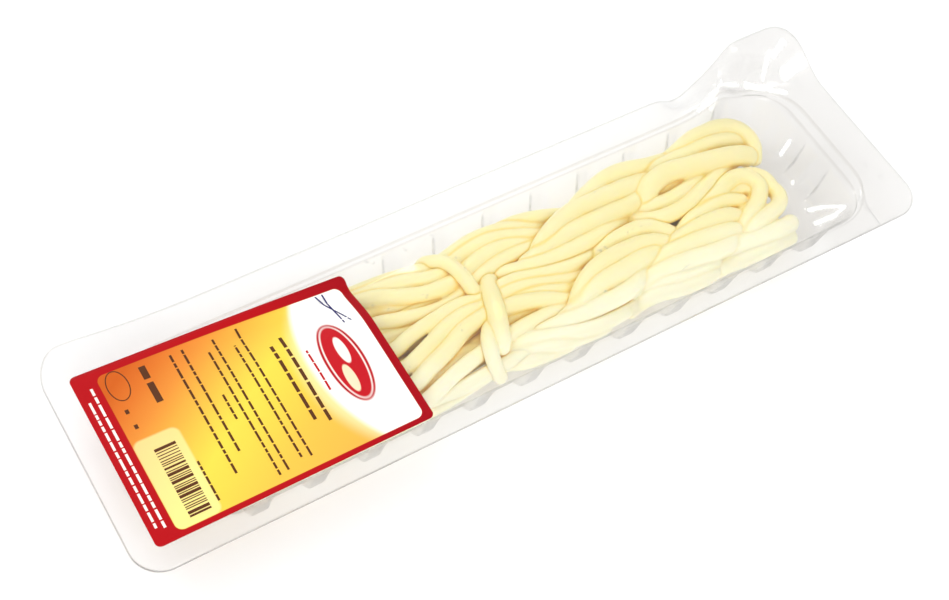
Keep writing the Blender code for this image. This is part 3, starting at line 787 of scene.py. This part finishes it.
def base_rings():
    """The rounded foot of the wall and the flat base."""
    slope = WALL_DRAFT * WALL_DEEP
    for degrees in (18, 36, 54, 72, 90):
        angle = math.radians(degrees)
        inset = slope + 0.8 * BASE_FILLET * (1 - math.cos(angle))
        height = TRAY_FLOOR + BASE_FILLET * (1 - math.sin(angle))
        bulge = PILLAR_FOOT_BULGE * (1 - degrees / 140)
        points = inset_ring(2.1 + inset, 6.8 + inset, WALL_CORNER - inset, bulge)
        # A faint line of painted shade along the rounded foot
        yield placed(points, height, 0.0, 0.12)
    for further in (1.0, 3.0):
        inset = slope + 0.8 * BASE_FILLET + further
        foot = PILLAR_FOOT_BULGE * 0.36 * (1 - further / 3.0)
        points = inset_ring(2.1 + inset, 6.8 + inset, max(WALL_CORNER - inset, 1.5), foot)
        yield placed(points, TRAY_FLOOR, 0.0)


def build_tray(settings):
    sheet = bmesh.new()
    grey = sheet.verts.layers.float.new("grey")
    rows = []
    for outline in (*flange_rings(), *ledge_rings(), *wall_rings(), *base_rings()):
        row = []
        for place, shade in outline:
            vertex = sheet.verts.new(place)
            vertex[grey] = shade
            row.append(vertex)
        rows.append(row)
    for outer, inner in zip(rows, rows[1:]):
        for i in range(len(outer)):
            j = (i + 1) % len(outer)
            sheet.faces.new((outer[i], outer[j], inner[j], inner[i]))
    sheet.faces.new(rows[-1])
    tray = new_object("tray_shell", mesh_of(sheet, "tray_shell"), tray_material())
    thicken(tray, settings.tray_wall)
    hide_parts("tray")


# ---------------------------------------------------------------- the film and its label


def film_columns(left, right):
    """Places along the film, closer together over the creases at the far end."""
    coarse = evenly(left + PACK_CORNER, FILM_FINE_FROM, FILM_COLUMNS)
    return coarse + evenly(FILM_FINE_FROM, right - PACK_CORNER, FILM_FINE_COLUMNS)


def streaks(x, y, lines):
    """How strongly a place on the film is marked by the nearest of some lines."""
    if x < STREAKS_FROM:
        return 0.0
    return max(
        strength * math.exp(-((from_segment(x, y, first, second) / wide) ** 4))
        for first, second, wide, strength in lines
    )


def build_film(settings):
    left, right = LID_INSET, PACK_LENGTH - LID_INSET
    near, far = LID_INSET, PACK_WIDTH - LID_INSET
    sheet = rounded_sheet(
        left, right, near, far, PACK_CORNER, film_columns(left, right), FILM_ROWS,
        lambda x, y: bend(x, y, film_height(x, y)),
    )
    haze_and_painted_glare = sheet.verts.layers.float.new("haze_and_painted_glare")
    grey = sheet.verts.layers.float.new("grey")
    flat = sheet.verts.layers.float_vector["flat_place"]
    # Painted highlights: along the GLARES streaks the film is marked to be whitened and to glow; the seal lines
    # are marked grey
    for vertex in sheet.verts:
        x, y = vertex[flat].x / MM + left, vertex[flat].y / MM + near
        vertex[haze_and_painted_glare], vertex[grey] = streaks(x, y, GLARES), streaks(x, y, SEAL_LINES)
    film = new_object("lid_film_sheet", mesh_of(sheet, "lid_film_sheet"), film_material())
    thicken(film, settings.film_thickness)
    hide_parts("lid_film")


def on_label(x, y, lift=0.0):
    """A point on the label's upper face. Its far edge runs inward to the right."""
    taper = 1 - LABEL_TAPER * (x - LABEL_LEFT) / (LABEL_RIGHT - LABEL_LEFT)
    y = LABEL_NEAR + (y - LABEL_NEAR) * taper
    return bend(x, y, film_height(x, y) + LABEL_THICK + 0.04 + lift)


def build_label(settings):
    columns = evenly(LABEL_LEFT + LABEL_CORNER, LABEL_RIGHT - LABEL_CORNER, 80)
    sheet = rounded_sheet(
        LABEL_LEFT, LABEL_RIGHT, LABEL_NEAR, LABEL_FAR, LABEL_CORNER, columns, 54, on_label
    )
    material = label_material(settings.label_border)
    label = new_object("label_sheet", mesh_of(sheet, "label_sheet"), material)
    thicken(label, settings.label_thickness)
    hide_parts("label")


INK_LOW, INK_HIGH = 0.01, 0.035
DARK, WHITE, RED, NAVY = 0, 1, 2, 3


def stamp(ink, left, right, near, far, material, slant=0.0):
    """A thin printed bar on the label, closed on all sides and curved with it."""
    steps = max(1, int((far - near) / 4.0) + 1)
    rows = []
    for i in range(steps + 1):
        share = i / steps
        y, shift = near + (far - near) * share, slant * share
        sides = (left + shift, right + shift)
        corners = (
            (sides[0], y, INK_LOW), (sides[1], y, INK_LOW), (sides[1], y, INK_HIGH), (sides[0], y, INK_HIGH)
        )
        rows.append([ink.verts.new(on_label(*corner)) for corner in corners])
    faces = [rows[0][::-1], rows[-1]]
    for first, second in zip(rows, rows[1:]):
        for i in range(4):
            j = (i + 1) % 4
            faces.append((first[i], first[j], second[j], second[i]))
    for corners in faces:
        ink.faces.new(corners).material_index = material


def stamp_words(ink, row, material, seed):
    """A row of plain bars, each as long as a word of small print."""
    x, near, far, tall = row
    pick = random.Random(seed)
    y = near
    while y < far:
        end = min(y + tall * pick.uniform(1.8, 5.5), far)
        stamp(ink, x - tall / 2, x + tall / 2, y, end, material)
        y = end + tall * pick.uniform(0.5, 0.8)


def stamp_stripes(ink, left, right, near, far, material, seed):
    """A block of thin stripes of uneven width."""
    pick = random.Random(seed)
    y = near
    while y < far:
        wide = pick.choice((0.35, 0.35, 0.7, 1.05))
        stamp(ink, left, right, y, y + wide, material)
        y += wide + pick.choice((0.35, 0.5, 0.7))


def stamp_ring(ink, middle, half, wide, material, sides=32):
    """A thin printed oval ring."""
    loops = []
    for inset, lift in ((wide, INK_LOW), (0, INK_LOW), (0, INK_HIGH), (wide, INK_HIGH)):
        loop = []
        for i in range(sides):
            angle = math.tau * i / sides
            x = middle[0] + (half[0] - inset) * math.cos(angle)
            y = middle[1] + (half[1] - inset) * math.sin(angle)
            loop.append(ink.verts.new(on_label(x, y, lift)))
        loops.append(loop)
    for first, second in zip(loops, loops[1:] + loops[:1]):
        for i in range(sides):
            j = (i + 1) % sides
            ink.faces.new((first[i], second[i], second[j], first[j])).material_index = material


def build_label_print():
    """Plain bars, stripes, a ring and strokes where the label carries its small print."""
    ink = bmesh.new()
    rows = [(row, DARK) for row in PRINT_ROWS + BOLD_ROWS]
    rows += [(row, WHITE) for row in WHITE_ROWS] + [(row, RED) for row in RED_ROWS]
    for seed, (row, material) in enumerate(rows):
        stamp_words(ink, row, material, seed)
    stamp_stripes(ink, 21.0, 28.0, 12.5, 38.0, DARK, 7)
    stamp_ring(ink, (20.8, 63.5), (3.5, 5.8), 0.35, DARK)
    for shift in (0.0, 2.4):
        stamp(ink, 96.6 - shift, 97.1 - shift, 54.1, 69.0, NAVY, -5.6 + 2 * shift)
    bmesh.ops.recalc_face_normals(ink, faces=ink.faces)
    inks = (
        ink_material("dark_ink", linear(92, 54, 32)),
        ink_material("white_ink", linear(250, 240, 232)),
        ink_material("red_ink", linear(190, 24, 30)),
        ink_material("navy_ink", linear(46, 44, 104)),
    )
    new_object("label_print", mesh_of(ink, "label_print"), *inks)


# ---------------------------------------------------------------- the cheese


class Sweep:
    """A Geometry Nodes tree built by short calls."""

    def __init__(self, name):
        self.tree = bpy.data.node_groups.new(name, "GeometryNodeTree")
        self.face = self.tree.interface
        self.face.new_socket("Geometry", in_out="INPUT", socket_type="NodeSocketGeometry")
        self.face.new_socket("Geometry", in_out="OUTPUT", socket_type="NodeSocketGeometry")
        self.start = self.tree.nodes.new("NodeGroupInput")
        self.end = self.tree.nodes.new("NodeGroupOutput")

    def value(self, name, kind="Float"):
        """A named input of the tree; returns (socket to link from, identifier)."""
        socket = self.face.new_socket(name, in_out="INPUT", socket_type="NodeSocket" + kind)
        return self.start.outputs[name], socket.identifier

    def add(self, kind, inputs=None, **settings):
        node = self.tree.nodes.new(kind)
        for key, value in settings.items():
            setattr(node, key, value)
        for key, value in (inputs or {}).items():
            if isinstance(value, bpy.types.NodeSocket):
                self.tree.links.new(value, node.inputs[key])
            else:
                node.inputs[key].default_value = value
        return node

    def math(self, operation, first, second=0.0):
        inputs = {0: first, 1: second}
        return self.add("ShaderNodeMath", inputs, operation=operation).outputs[0]

    def vector(self, operation, first, second):
        """A vector sum; the second value is the factor when the operation is SCALE."""
        key = "Scale" if operation == "SCALE" else 1
        return self.add("ShaderNodeVectorMath", {0: first, key: second}, operation=operation).outputs[0]


def strand_tree():
    """Sweeps a round, slightly uneven section with rounded ends along each curve."""
    sweep = Sweep("strand_sweep")
    step, step_id = sweep.value("Step")
    sides, sides_id = sweep.value("Sides", "Int")
    uneven, uneven_id = sweep.value("Unevenness")
    lump, lump_id = sweep.value("Lump size")
    material, material_id = sweep.value("Material", "Material")
    number = sweep.add("GeometryNodeInputIndex").outputs[0]
    line = sweep.add(
        "GeometryNodeStoreNamedAttribute",
        {0: sweep.start.outputs[0], "Name": "strand", "Value": number},
        domain="CURVE",
    )
    line = sweep.add("GeometryNodeCurveSplineType", {0: line.outputs[0]}, spline_type="BEZIER")
    line = sweep.add("GeometryNodeCurveSetHandles", {0: line.outputs[0]}, handle_type="AUTO")
    line = sweep.add("GeometryNodeSetSplineResolution", {0: line.outputs[0], "Resolution": 12})
    line = sweep.add("GeometryNodeResampleCurve", {0: line.outputs[0], "Length": step}, mode="LENGTH")
    along = sweep.add("GeometryNodeSplineParameter").outputs
    whole = sweep.add("GeometryNodeSplineLength").outputs["Length"]
    radius = sweep.add("GeometryNodeInputRadius").outputs[0]
    left = sweep.math("MINIMUM", along["Length"], sweep.math("SUBTRACT", whole, along["Length"]))
    share = sweep.math("MINIMUM", sweep.math("DIVIDE", left, radius), 1.0)
    round_end = sweep.math("SQRT", sweep.math("MULTIPLY", share, sweep.math("SUBTRACT", 2.0, share)))
    thick = sweep.math("MULTIPLY", radius, sweep.math("MAXIMUM", round_end, 0.12))
    line = sweep.add(
        "GeometryNodeStoreNamedAttribute", {0: line.outputs[0], "Name": "along", "Value": along["Length"]}
    )
    circle = sweep.add("GeometryNodeCurvePrimitiveCircle", {"Resolution": sides, "Radius": 1.0})
    turn = sweep.add("GeometryNodeSplineParameter").outputs["Factor"]
    circle = sweep.add(
        "GeometryNodeStoreNamedAttribute", {0: circle.outputs[0], "Name": "around", "Value": turn}
    )
    tube = sweep.add(
        "GeometryNodeCurveToMesh",
        {"Curve": line.outputs[0], "Profile Curve": circle.outputs[0], "Scale": thick, "Fill Caps": True},
    )
    place = sweep.add("GeometryNodeInputPosition").outputs[0]
    stretched = sweep.vector("MULTIPLY", place, (0.45, 1.0, 1.0))
    scale = sweep.math("DIVIDE", 1.0, lump)
    clouds = sweep.add("ShaderNodeTexNoise", {"Vector": stretched, "Scale": scale, "Detail": 2.0})
    swell = sweep.math("MULTIPLY", sweep.math("SUBTRACT", clouds.outputs["Fac"], 0.5), uneven)
    normal = sweep.add("GeometryNodeInputNormal").outputs[0]
    moved = sweep.add(
        "GeometryNodeSetPosition", {0: tube.outputs[0], "Offset": sweep.vector("SCALE", normal, swell)}
    )
    even = sweep.add("GeometryNodeSetShadeSmooth", {0: moved.outputs[0], "Shade Smooth": True})
    real = sweep.add("GeometryNodeRealizeInstances", {0: even.outputs[0]})
    done = sweep.add("GeometryNodeSetMaterial", {0: real.outputs[0], "Material": material})
    sweep.tree.links.new(done.outputs[0], sweep.end.inputs[0])
    names = {"step": step_id, "sides": sides_id, "uneven": uneven_id, "lump": lump_id, "material": material_id}
    return sweep.tree, names


def sweep_strands(name, routes, tree, names, material, step=0.8, sides=24, uneven=0.5):
    """One mesh of strands from their routes."""
    curve = bpy.data.curves.new(name, "CURVE")
    curve.dimensions = "3D"
    for thick, points in routes:
        line = curve.splines.new("POLY")
        line.points.add(len(points) - 1)
        for knot, (x, y, z) in zip(line.points, points):
            knot.co = (*at(*keep_inside(x, y, z, thick)), 1.0)
            knot.radius = thick * MM
    guide = bpy.data.objects.new(name + "_guide", curve)
    bpy.context.scene.collection.objects.link(guide)
    nodes = guide.modifiers.new("Strands", "NODES")
    nodes.node_group = tree
    nodes[names["step"]] = step * MM
    nodes[names["sides"]] = sides
    nodes[names["uneven"]] = uneven * MM
    nodes[names["lump"]] = 8.0 * MM
    nodes[names["material"]] = material
    bpy.context.view_layer.update()
    graph = bpy.context.evaluated_depsgraph_get()
    mesh = bpy.data.meshes.new_from_object(guide.evaluated_get(graph))
    mesh.name = name
    bpy.data.objects.remove(guide, do_unlink=True)
    if not mesh.polygons:
        raise RuntimeError(name + " has no strands")
    thing = bpy.data.objects.new(name, mesh)
    bpy.context.scene.collection.objects.link(thing)
    return thing


class Tubes:
    """The strands as they were swept, before they are pressed together."""

    def __init__(self, things):
        self.points, self.faces, self.strands, self.runs = [], [], [], []
        for number, thing in enumerate(things):
            self.take(thing.data, 1000 * number)
        self.near_point = KDTree(len(self.points))
        for i, point in enumerate(self.points):
            self.near_point.insert(point, i)
        self.near_point.balance()
        self.near_face = BVHTree.FromPolygons(self.points, self.faces)

    def take(self, mesh, first_strand):
        offset = len(self.points)
        strand, along, around = (
            [item.value for item in mesh.attributes[name].data] for name in ("strand", "along", "around")
        )
        self.points += [vertex.co.copy() for vertex in mesh.vertices]
        for length, turn in zip(along, around):
            angle = math.tau * turn
            self.runs.append((math.cos(angle), math.sin(angle), length * 60.0))
        for polygon in mesh.polygons:
            self.faces.append(tuple(offset + i for i in polygon.vertices))
            self.strands.append(first_strand + round(strand[polygon.vertices[0]]))

    def crease(self, place):
        """1 where two strands meet and 0 beyond CREASE_REACH from the second one."""
        nearest = {}
        for _, _, face, gap in self.near_face.find_nearest_range(place, CREASE_REACH * MM):
            strand = self.strands[face]
            nearest[strand] = min(gap, nearest.get(strand, gap))
        if len(nearest) < 2:
            return 0.0
        return 1.0 - sorted(nearest.values())[1] / (CREASE_REACH * MM)

    def run(self, place):
        return self.runs[self.near_point.find(place)[1]]


def press_together(thing, tubes, material, voxel):
    """Joins touching strands with a soft crease, and hands on the run of each strand and how near each point lies
    to a crease, which the cheese's colour uses as painted shade.
    """
    skin = thing.modifiers.new("Skin", "REMESH")
    skin.mode = "VOXEL"
    skin.voxel_size = voxel * MM
    skin.use_smooth_shade = True
    even = thing.modifiers.new("Even", "SMOOTH")
    even.factor, even.iterations = 0.5, 1
    mesh = baked(thing)
    mesh.materials.clear()
    mesh.materials.append(material)
    places = [vertex.co.copy() for vertex in mesh.vertices]
    run = mesh.attributes.new("run", "FLOAT_VECTOR", "POINT")
    run.data.foreach_set("vector", [part for place in places for part in tubes.run(place)])
    crease = mesh.attributes.new("crease", "FLOAT", "POINT")
    crease.data.foreach_set("value", [tubes.crease(place) for place in places])
    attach(thing, "root")


def underneath(routes):
    """The same strands where they come back along the base, drawn in from the walls."""
    lower = []
    for thick, points in routes:
        turned = []
        for x, y, z in points:
            inward = CAVITY_MIDDLE + (y - CAVITY_MIDDLE) * 0.72
            turned.append((min(x - 5.0, 251.0), inward, min(max(16.5 - z, 3.6), 6.0)))
        lower.append((min(thick, 2.7), tuple(turned)))
    return lower


def inner_strands():
    """Strands that run through the middle of both ropes, apart where the ropes leave a gap."""
    for i in range(INNER_STRANDS):
        base = INNER_NEAR + (INNER_FAR - INNER_NEAR) * i / (INNER_STRANDS - 1)
        end = 251.0 - 3.0 * abs(i - INNER_STRANDS / 2) / 2
        points = []
        for step in range(14):
            x = 49.0 + (end - 49.0) * step / 13
            y = base + 1.4 * math.sin(x / 11.0 + 2.4 * i)
            apart = bell(x, GAP_PLACE[0], 9.0) * bell(y, GAP_PLACE[1], 8.0)
            y += 4.5 * apart * (1 if y > GAP_PLACE[1] else -1)
            points.append((x, y, 8.2 + 0.5 * math.sin(x / 17.0 + i) - 3.0 * apart))
        yield 2.8, tuple(points)


def keep_inside(x, y, z, thick):
    """The place moved off the sloping walls of the tray where the strand would cut them."""
    wall = 2.1 + WALL_DRAFT * max(TRAY_TOP - WALL_TOP_DROP - z, 0.0) + thick + 0.35
    return x, min(max(y, RIM_NEAR + wall), RIM_FAR - wall), max(z, TRAY_FLOOR + thick + 0.2)


def shade_nooks(things):
    """Stores on each point how much of its near surroundings is closed in by other strands, which the cheese's
    colour uses as painted shade.
    """
    points, faces, offset = [], [], 0
    for thing in things:
        mesh = thing.data
        points += [vertex.co.copy() for vertex in mesh.vertices]
        faces += [tuple(offset + i for i in polygon.vertices) for polygon in mesh.polygons]
        offset = len(points)
    tree = BVHTree.FromPolygons(points, faces)
    golden = math.pi * (3 - math.sqrt(5))
    fan = []
    for i in range(NOOK_RAYS):
        height = 1 - (i + 0.5) / NOOK_RAYS * 0.93
        flat = math.sqrt(1 - height**2)
        fan.append((flat * math.cos(golden * i), flat * math.sin(golden * i), height))
    for thing in things:
        mesh = thing.data
        layer = mesh.attributes.new("nook", "FLOAT", "POINT")
        values = []
        for vertex in mesh.vertices:
            normal = vertex.normal
            side = normal.orthogonal().normalized()
            other = normal.cross(side)
            start = vertex.co + normal * 0.25 * MM
            closed = 0.0
            for a, b, c in fan:
                _, _, _, reach = tree.ray_cast(start, side * a + other * b + normal * c, NOOK_REACH * MM)
                if reach is not None:
                    closed += 1.0 - 0.6 * reach / (NOOK_REACH * MM)
            values.append(closed / NOOK_RAYS)
        layer.data.foreach_set("value", values)


def build_cheese(settings):
    """Two twisted ropes, the loose strands they start from, the tie, and what lies beneath."""
    tree, names = strand_tree()
    material = cheese_material(settings.cheese_cream, settings.cheese_painted_shade)
    lower = underneath(LOOSE_STRANDS + FAR_ROPE + NEAR_ROPE)
    far_loose, near_loose = LOOSE_STRANDS[:FAR_LOOSE_STRANDS], LOOSE_STRANDS[FAR_LOOSE_STRANDS:]
    groups = (
        ("cheese_far_loose_strands", far_loose, FINE_VOXEL),
        ("cheese_near_loose_strands", near_loose, FINE_VOXEL),
        ("cheese_tie", TIE_STRANDS, FINE_VOXEL),
        ("cheese_far_rope", FAR_ROPE, FINE_VOXEL),
        ("cheese_near_rope", NEAR_ROPE, FINE_VOXEL),
        ("cheese_inner_strands", tuple(inner_strands()), COARSE_VOXEL),
        ("cheese_lower_strands", lower, COARSE_VOXEL),
    )
    pieces = [sweep_strands(name, routes, tree, names, material) for name, routes, _ in groups]
    tubes = Tubes(pieces)
    for piece, (_, _, voxel) in zip(pieces, groups):
        press_together(piece, tubes, material, voxel)
    shade_nooks(pieces)
    for piece in pieces:
        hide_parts("cheese_braid")
    bpy.data.node_groups.remove(tree)


# ---------------------------------------------------------------- moisture


def drop_tree():
    """Sets a flattened drop on each point, sized by the point's radius."""
    drops = Sweep("drops_under_film")
    flat, flat_id = drops.value("Flatness")
    material, material_id = drops.value("Material", "Material")
    radius = drops.add("GeometryNodeInputNamedAttribute", {0: "size"}, data_type="FLOAT").outputs[0]
    ball = drops.add("GeometryNodeMeshUVSphere", {"Segments": 14, "Rings": 8, "Radius": 1.0})
    tall = drops.math("MULTIPLY", radius, flat)
    scale = drops.add("ShaderNodeCombineXYZ", {0: radius, 1: radius, 2: tall}).outputs[0]
    spots = drops.add("GeometryNodeMeshToPoints", {0: drops.start.outputs[0]})
    placed = drops.add(
        "GeometryNodeInstanceOnPoints", {"Points": spots.outputs[0], "Instance": ball.outputs[0], "Scale": scale}
    )
    real = drops.add("GeometryNodeRealizeInstances", {0: placed.outputs[0]})
    even = drops.add("GeometryNodeSetShadeSmooth", {0: real.outputs[0], "Shade Smooth": True})
    done = drops.add("GeometryNodeSetMaterial", {0: even.outputs[0], "Material": material})
    drops.tree.links.new(done.outputs[0], drops.end.inputs[0])
    return drops.tree, {"flat": flat_id, "material": material_id}


def build_moisture():
    """Drops that hang on the underside of the film."""
    pick = random.Random(3)
    places, sizes = [], []
    for x, y in DROPS:
        for _ in range(pick.randint(1, 3)):
            spot_x, spot_y = x + pick.uniform(-1.6, 1.6), y + pick.uniform(-1.0, 1.0)
            size = pick.uniform(0.25, 0.6)
            low = film_height(spot_x, spot_y) - FILM_THICK - 0.4 * size
            places.append(bend(spot_x, spot_y, low))
            sizes.append(size * MM)
    mesh = bpy.data.meshes.new("moisture_drops")
    mesh.from_pydata(places, [], [])
    layer = mesh.attributes.new("size", "FLOAT", "POINT")
    layer.data.foreach_set("value", sizes)
    drops = bpy.data.objects.new("moisture_drops", mesh)
    bpy.context.scene.collection.objects.link(drops)
    tree, names = drop_tree()
    nodes = drops.modifiers.new("Drops", "NODES")
    nodes.node_group = tree
    nodes[names["flat"]] = 0.4
    nodes[names["material"]] = drop_material()
    baked(drops)
    bpy.data.node_groups.remove(tree)
    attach(drops, "root")


# ---------------------------------------------------------------- the stage


def floor_material():
    tree = new_tree("pale_floor")
    cloud = tree.noise(6.0, 3.0)
    colour = tree.mix(cloud, (0.81, 0.81, 0.81, 1.0), (0.83, 0.83, 0.83, 1.0))
    tree.plug(tree.shader.inputs["Base Color"], colour)
    tree.plug(tree.shader.inputs["Normal"], tree.bump(tree.noise(900.0, 2.0), 0.02))
    tree.shader.inputs["Roughness"].default_value = 0.8
    tree.shader.inputs["Specular IOR Level"].default_value = 0.1
    tree.shader.inputs["Emission Color"].default_value = (1.0, 1.0, 1.0, 1.0)
    tree.shader.inputs["Emission Strength"].default_value = FLOOR_GLOW
    return tree.owner


def build_floor():
    mesh = bpy.data.meshes.new("floor")
    half = 3.0
    corners = [(-half, -half, 0), (half, -half, 0), (half, half, 0), (-half, half, 0)]
    mesh.from_pydata(corners, [], [(0, 1, 2, 3)])
    mesh.materials.append(floor_material())
    floor = bpy.data.objects.new("floor", mesh)
    bpy.context.scene.collection.objects.link(floor)


def soft_light(name, place, size, strength, toward=(0.0, 0.0, 0.0)):
    """A square softbox that faces the pack."""
    data = bpy.data.lights.new(name, "AREA")
    data.shape = "RECTANGLE"
    data.size, data.size_y = size
    data.energy = strength
    lamp = bpy.data.objects.new(name, data)
    lamp.location = place
    lamp.rotation_euler = (Vector(toward) - Vector(place)).to_track_quat("-Z", "Y").to_euler()
    bpy.context.scene.collection.objects.link(lamp)


def window(tree, across, along, box, soft):
    """1 inside a soft box (left, right, low, high) of the sky, by slopes from straight up."""
    left, right, low, high = box
    wide = tree.math(
        "MULTIPLY",
        tree.remap(across, left - soft, left + soft),
        tree.remap(across, right - soft, right + soft, 1.0, 0.0),
    )
    tall = tree.math(
        "MULTIPLY",
        tree.remap(along, low - soft, low + soft),
        tree.remap(along, high - soft, high + soft, 1.0, 0.0),
    )
    return tree.math("MULTIPLY", wide, tall)


def build_sky():
    """A white room with a wide soft window on the far side and a bright lamp above it."""
    world = bpy.data.worlds.new("white_room")
    bpy.context.scene.world = world
    tree = Tree(world)
    back = tree.nodes["Background"]
    parts = tree.add("SeparateXYZ", {0: tree.add("TexCoord").outputs["Generated"]}).outputs
    up = tree.math("MAXIMUM", parts[2], 0.05)
    across, along = tree.math("DIVIDE", parts[0], up), tree.math("DIVIDE", parts[1], up)
    strength = tree.remap(parts[2], -0.1, 0.9, HORIZON_STRENGTH, SKY_STRENGTH)
    for box, soft, bright in ((SOFT_WINDOW, 0.12, WINDOW_STRENGTH), (LAMP, 0.04, LAMP_STRENGTH)):
        glow = tree.math("MULTIPLY", window(tree, across, along, box, soft), bright)
        strength = tree.math("ADD", strength, glow)
    tree.plug(back.inputs["Strength"], strength)
    back.inputs["Color"].default_value = (1.0, 1.0, 1.0, 1.0)


def build_camera():
    data = bpy.data.cameras.new("view")
    data.sensor_width = 36.0
    data.lens = LENS
    data.clip_start = 0.01
    camera = bpy.data.objects.new("view", data)
    bpy.context.scene.collection.objects.link(camera)
    turn = Matrix((EYE_RIGHT, EYE_UP, EYE_BACK)).transposed()
    camera.matrix_world = Matrix.Translation(at(EYE[0], EYE[1], EYE[2] + TRAY_TOP)) @ turn.to_4x4()
    bpy.context.scene.camera = camera


def build_stage(settings):
    build_floor()
    soft_light("near_light", (-0.5, -1.1, 0.9), (1.2, 0.8), settings.near_light)
    build_sky()
    build_camera()
    scene = bpy.context.scene
    scene.view_settings.view_transform = "Standard"
    scene.view_settings.look = "None"
    scene.cycles.transparent_max_bounces = 24


# ---------------------------------------------------------------- the add-on


class PackSettings(bpy.types.PropertyGroup):
    """Sizes and colours of the pack"""

    tray_wall: bpy.props.FloatProperty(
        name="Tray wall", description="Thickness of the tray's plastic", default=TRAY_WALL * MM,
        min=0.0001, max=0.0006, precision=5, unit="LENGTH",
    )
    film_thickness: bpy.props.FloatProperty(
        name="Film", description="Thickness of the lid film", default=FILM_THICK * MM,
        min=0.00005, max=0.0003, precision=5, unit="LENGTH",
    )
    label_thickness: bpy.props.FloatProperty(
        name="Label", description="Thickness of the label", default=LABEL_THICK * MM,
        min=0.00005, max=0.00013, precision=5, unit="LENGTH",
    )
    cheese_cream: bpy.props.FloatVectorProperty(
        name="Cheese", description="Colour of the open faces of the strands",
        default=linear(255, 240, 186), size=4, min=0.0, max=1.0, subtype="COLOR",
    )
    # The colour of the painted shade deep between the strands
    cheese_painted_shade: bpy.props.FloatVectorProperty(
        name="Cheese nooks", description="Colour deep between the strands",
        default=linear(248, 206, 104), size=4, min=0.0, max=1.0, subtype="COLOR",
    )
    label_border: bpy.props.FloatVectorProperty(
        name="Label border", description="Colour of the label's border",
        default=linear(182, 16, 24), size=4, min=0.0, max=1.0, subtype="COLOR",
    )
    near_light: bpy.props.FloatProperty(
        name="Near light", description="Power of the soft light on the near side",
        default=NEAR_POWER, min=0.0, max=100.0, unit="POWER",
    )


class BuildTray(bpy.types.Operator):
    """Forms the clear tray with its flange, ledge, ribbed pillars and base"""

    bl_idname = "cheese_pack.tray"
    bl_label = "Clear tray"

    def execute(self, context):
        build_tray(context.scene.cheese_pack)
        return {"FINISHED"}


class BuildCheese(bpy.types.Operator):
    """Lays the strands of the braided cheese over their core"""

    bl_idname = "cheese_pack.cheese"
    bl_label = "Cheese strands"

    def execute(self, context):
        build_cheese(context.scene.cheese_pack)
        return {"FINISHED"}


class BuildFilm(bpy.types.Operator):
    """Stretches the clear film over the tray, with the drops below it"""

    bl_idname = "cheese_pack.film"
    bl_label = "Lid film"

    def execute(self, context):
        build_film(context.scene.cheese_pack)
        build_moisture()
        return {"FINISHED"}


class BuildLabel(bpy.types.Operator):
    """Sticks the label on the film"""

    bl_idname = "cheese_pack.label"
    bl_label = "Label"

    def execute(self, context):
        build_label(context.scene.cheese_pack)
        build_label_print()
        return {"FINISHED"}


class BuildStage(bpy.types.Operator):
    """Sets the floor, the lights and the camera"""

    bl_idname = "cheese_pack.stage"
    bl_label = "Stage"

    def execute(self, context):
        build_stage(context.scene.cheese_pack)
        return {"FINISHED"}


OPERATORS = (BuildTray, BuildCheese, BuildFilm, BuildLabel, BuildStage)


class PackPanel(bpy.types.Panel):
    """Lists the settings and the pieces of the pack"""

    bl_idname = "VIEW3D_PT_cheese_pack"
    bl_label = "Cheese pack"
    bl_space_type = "VIEW_3D"
    bl_region_type = "UI"
    bl_category = "Cheese pack"

    def draw(self, context):
        settings = context.scene.cheese_pack
        for name in PackSettings.__annotations__:
            self.layout.prop(settings, name)
        for operator in OPERATORS:
            self.layout.operator(operator.bl_idname)


CLASSES = (PackSettings, *OPERATORS, PackPanel)


def register():
    for kind in CLASSES:
        bpy.utils.register_class(kind)
    bpy.types.Scene.cheese_pack = bpy.props.PointerProperty(type=PackSettings)


def unregister():
    del bpy.types.Scene.cheese_pack
    for kind in reversed(CLASSES):
        bpy.utils.unregister_class(kind)


def main():
    register()
    bpy.ops.cheese_pack.tray()
    bpy.ops.cheese_pack.cheese()
    bpy.ops.cheese_pack.film()
    bpy.ops.cheese_pack.label()
    bpy.ops.cheese_pack.stage()


if __name__ == "__main__":
    main()
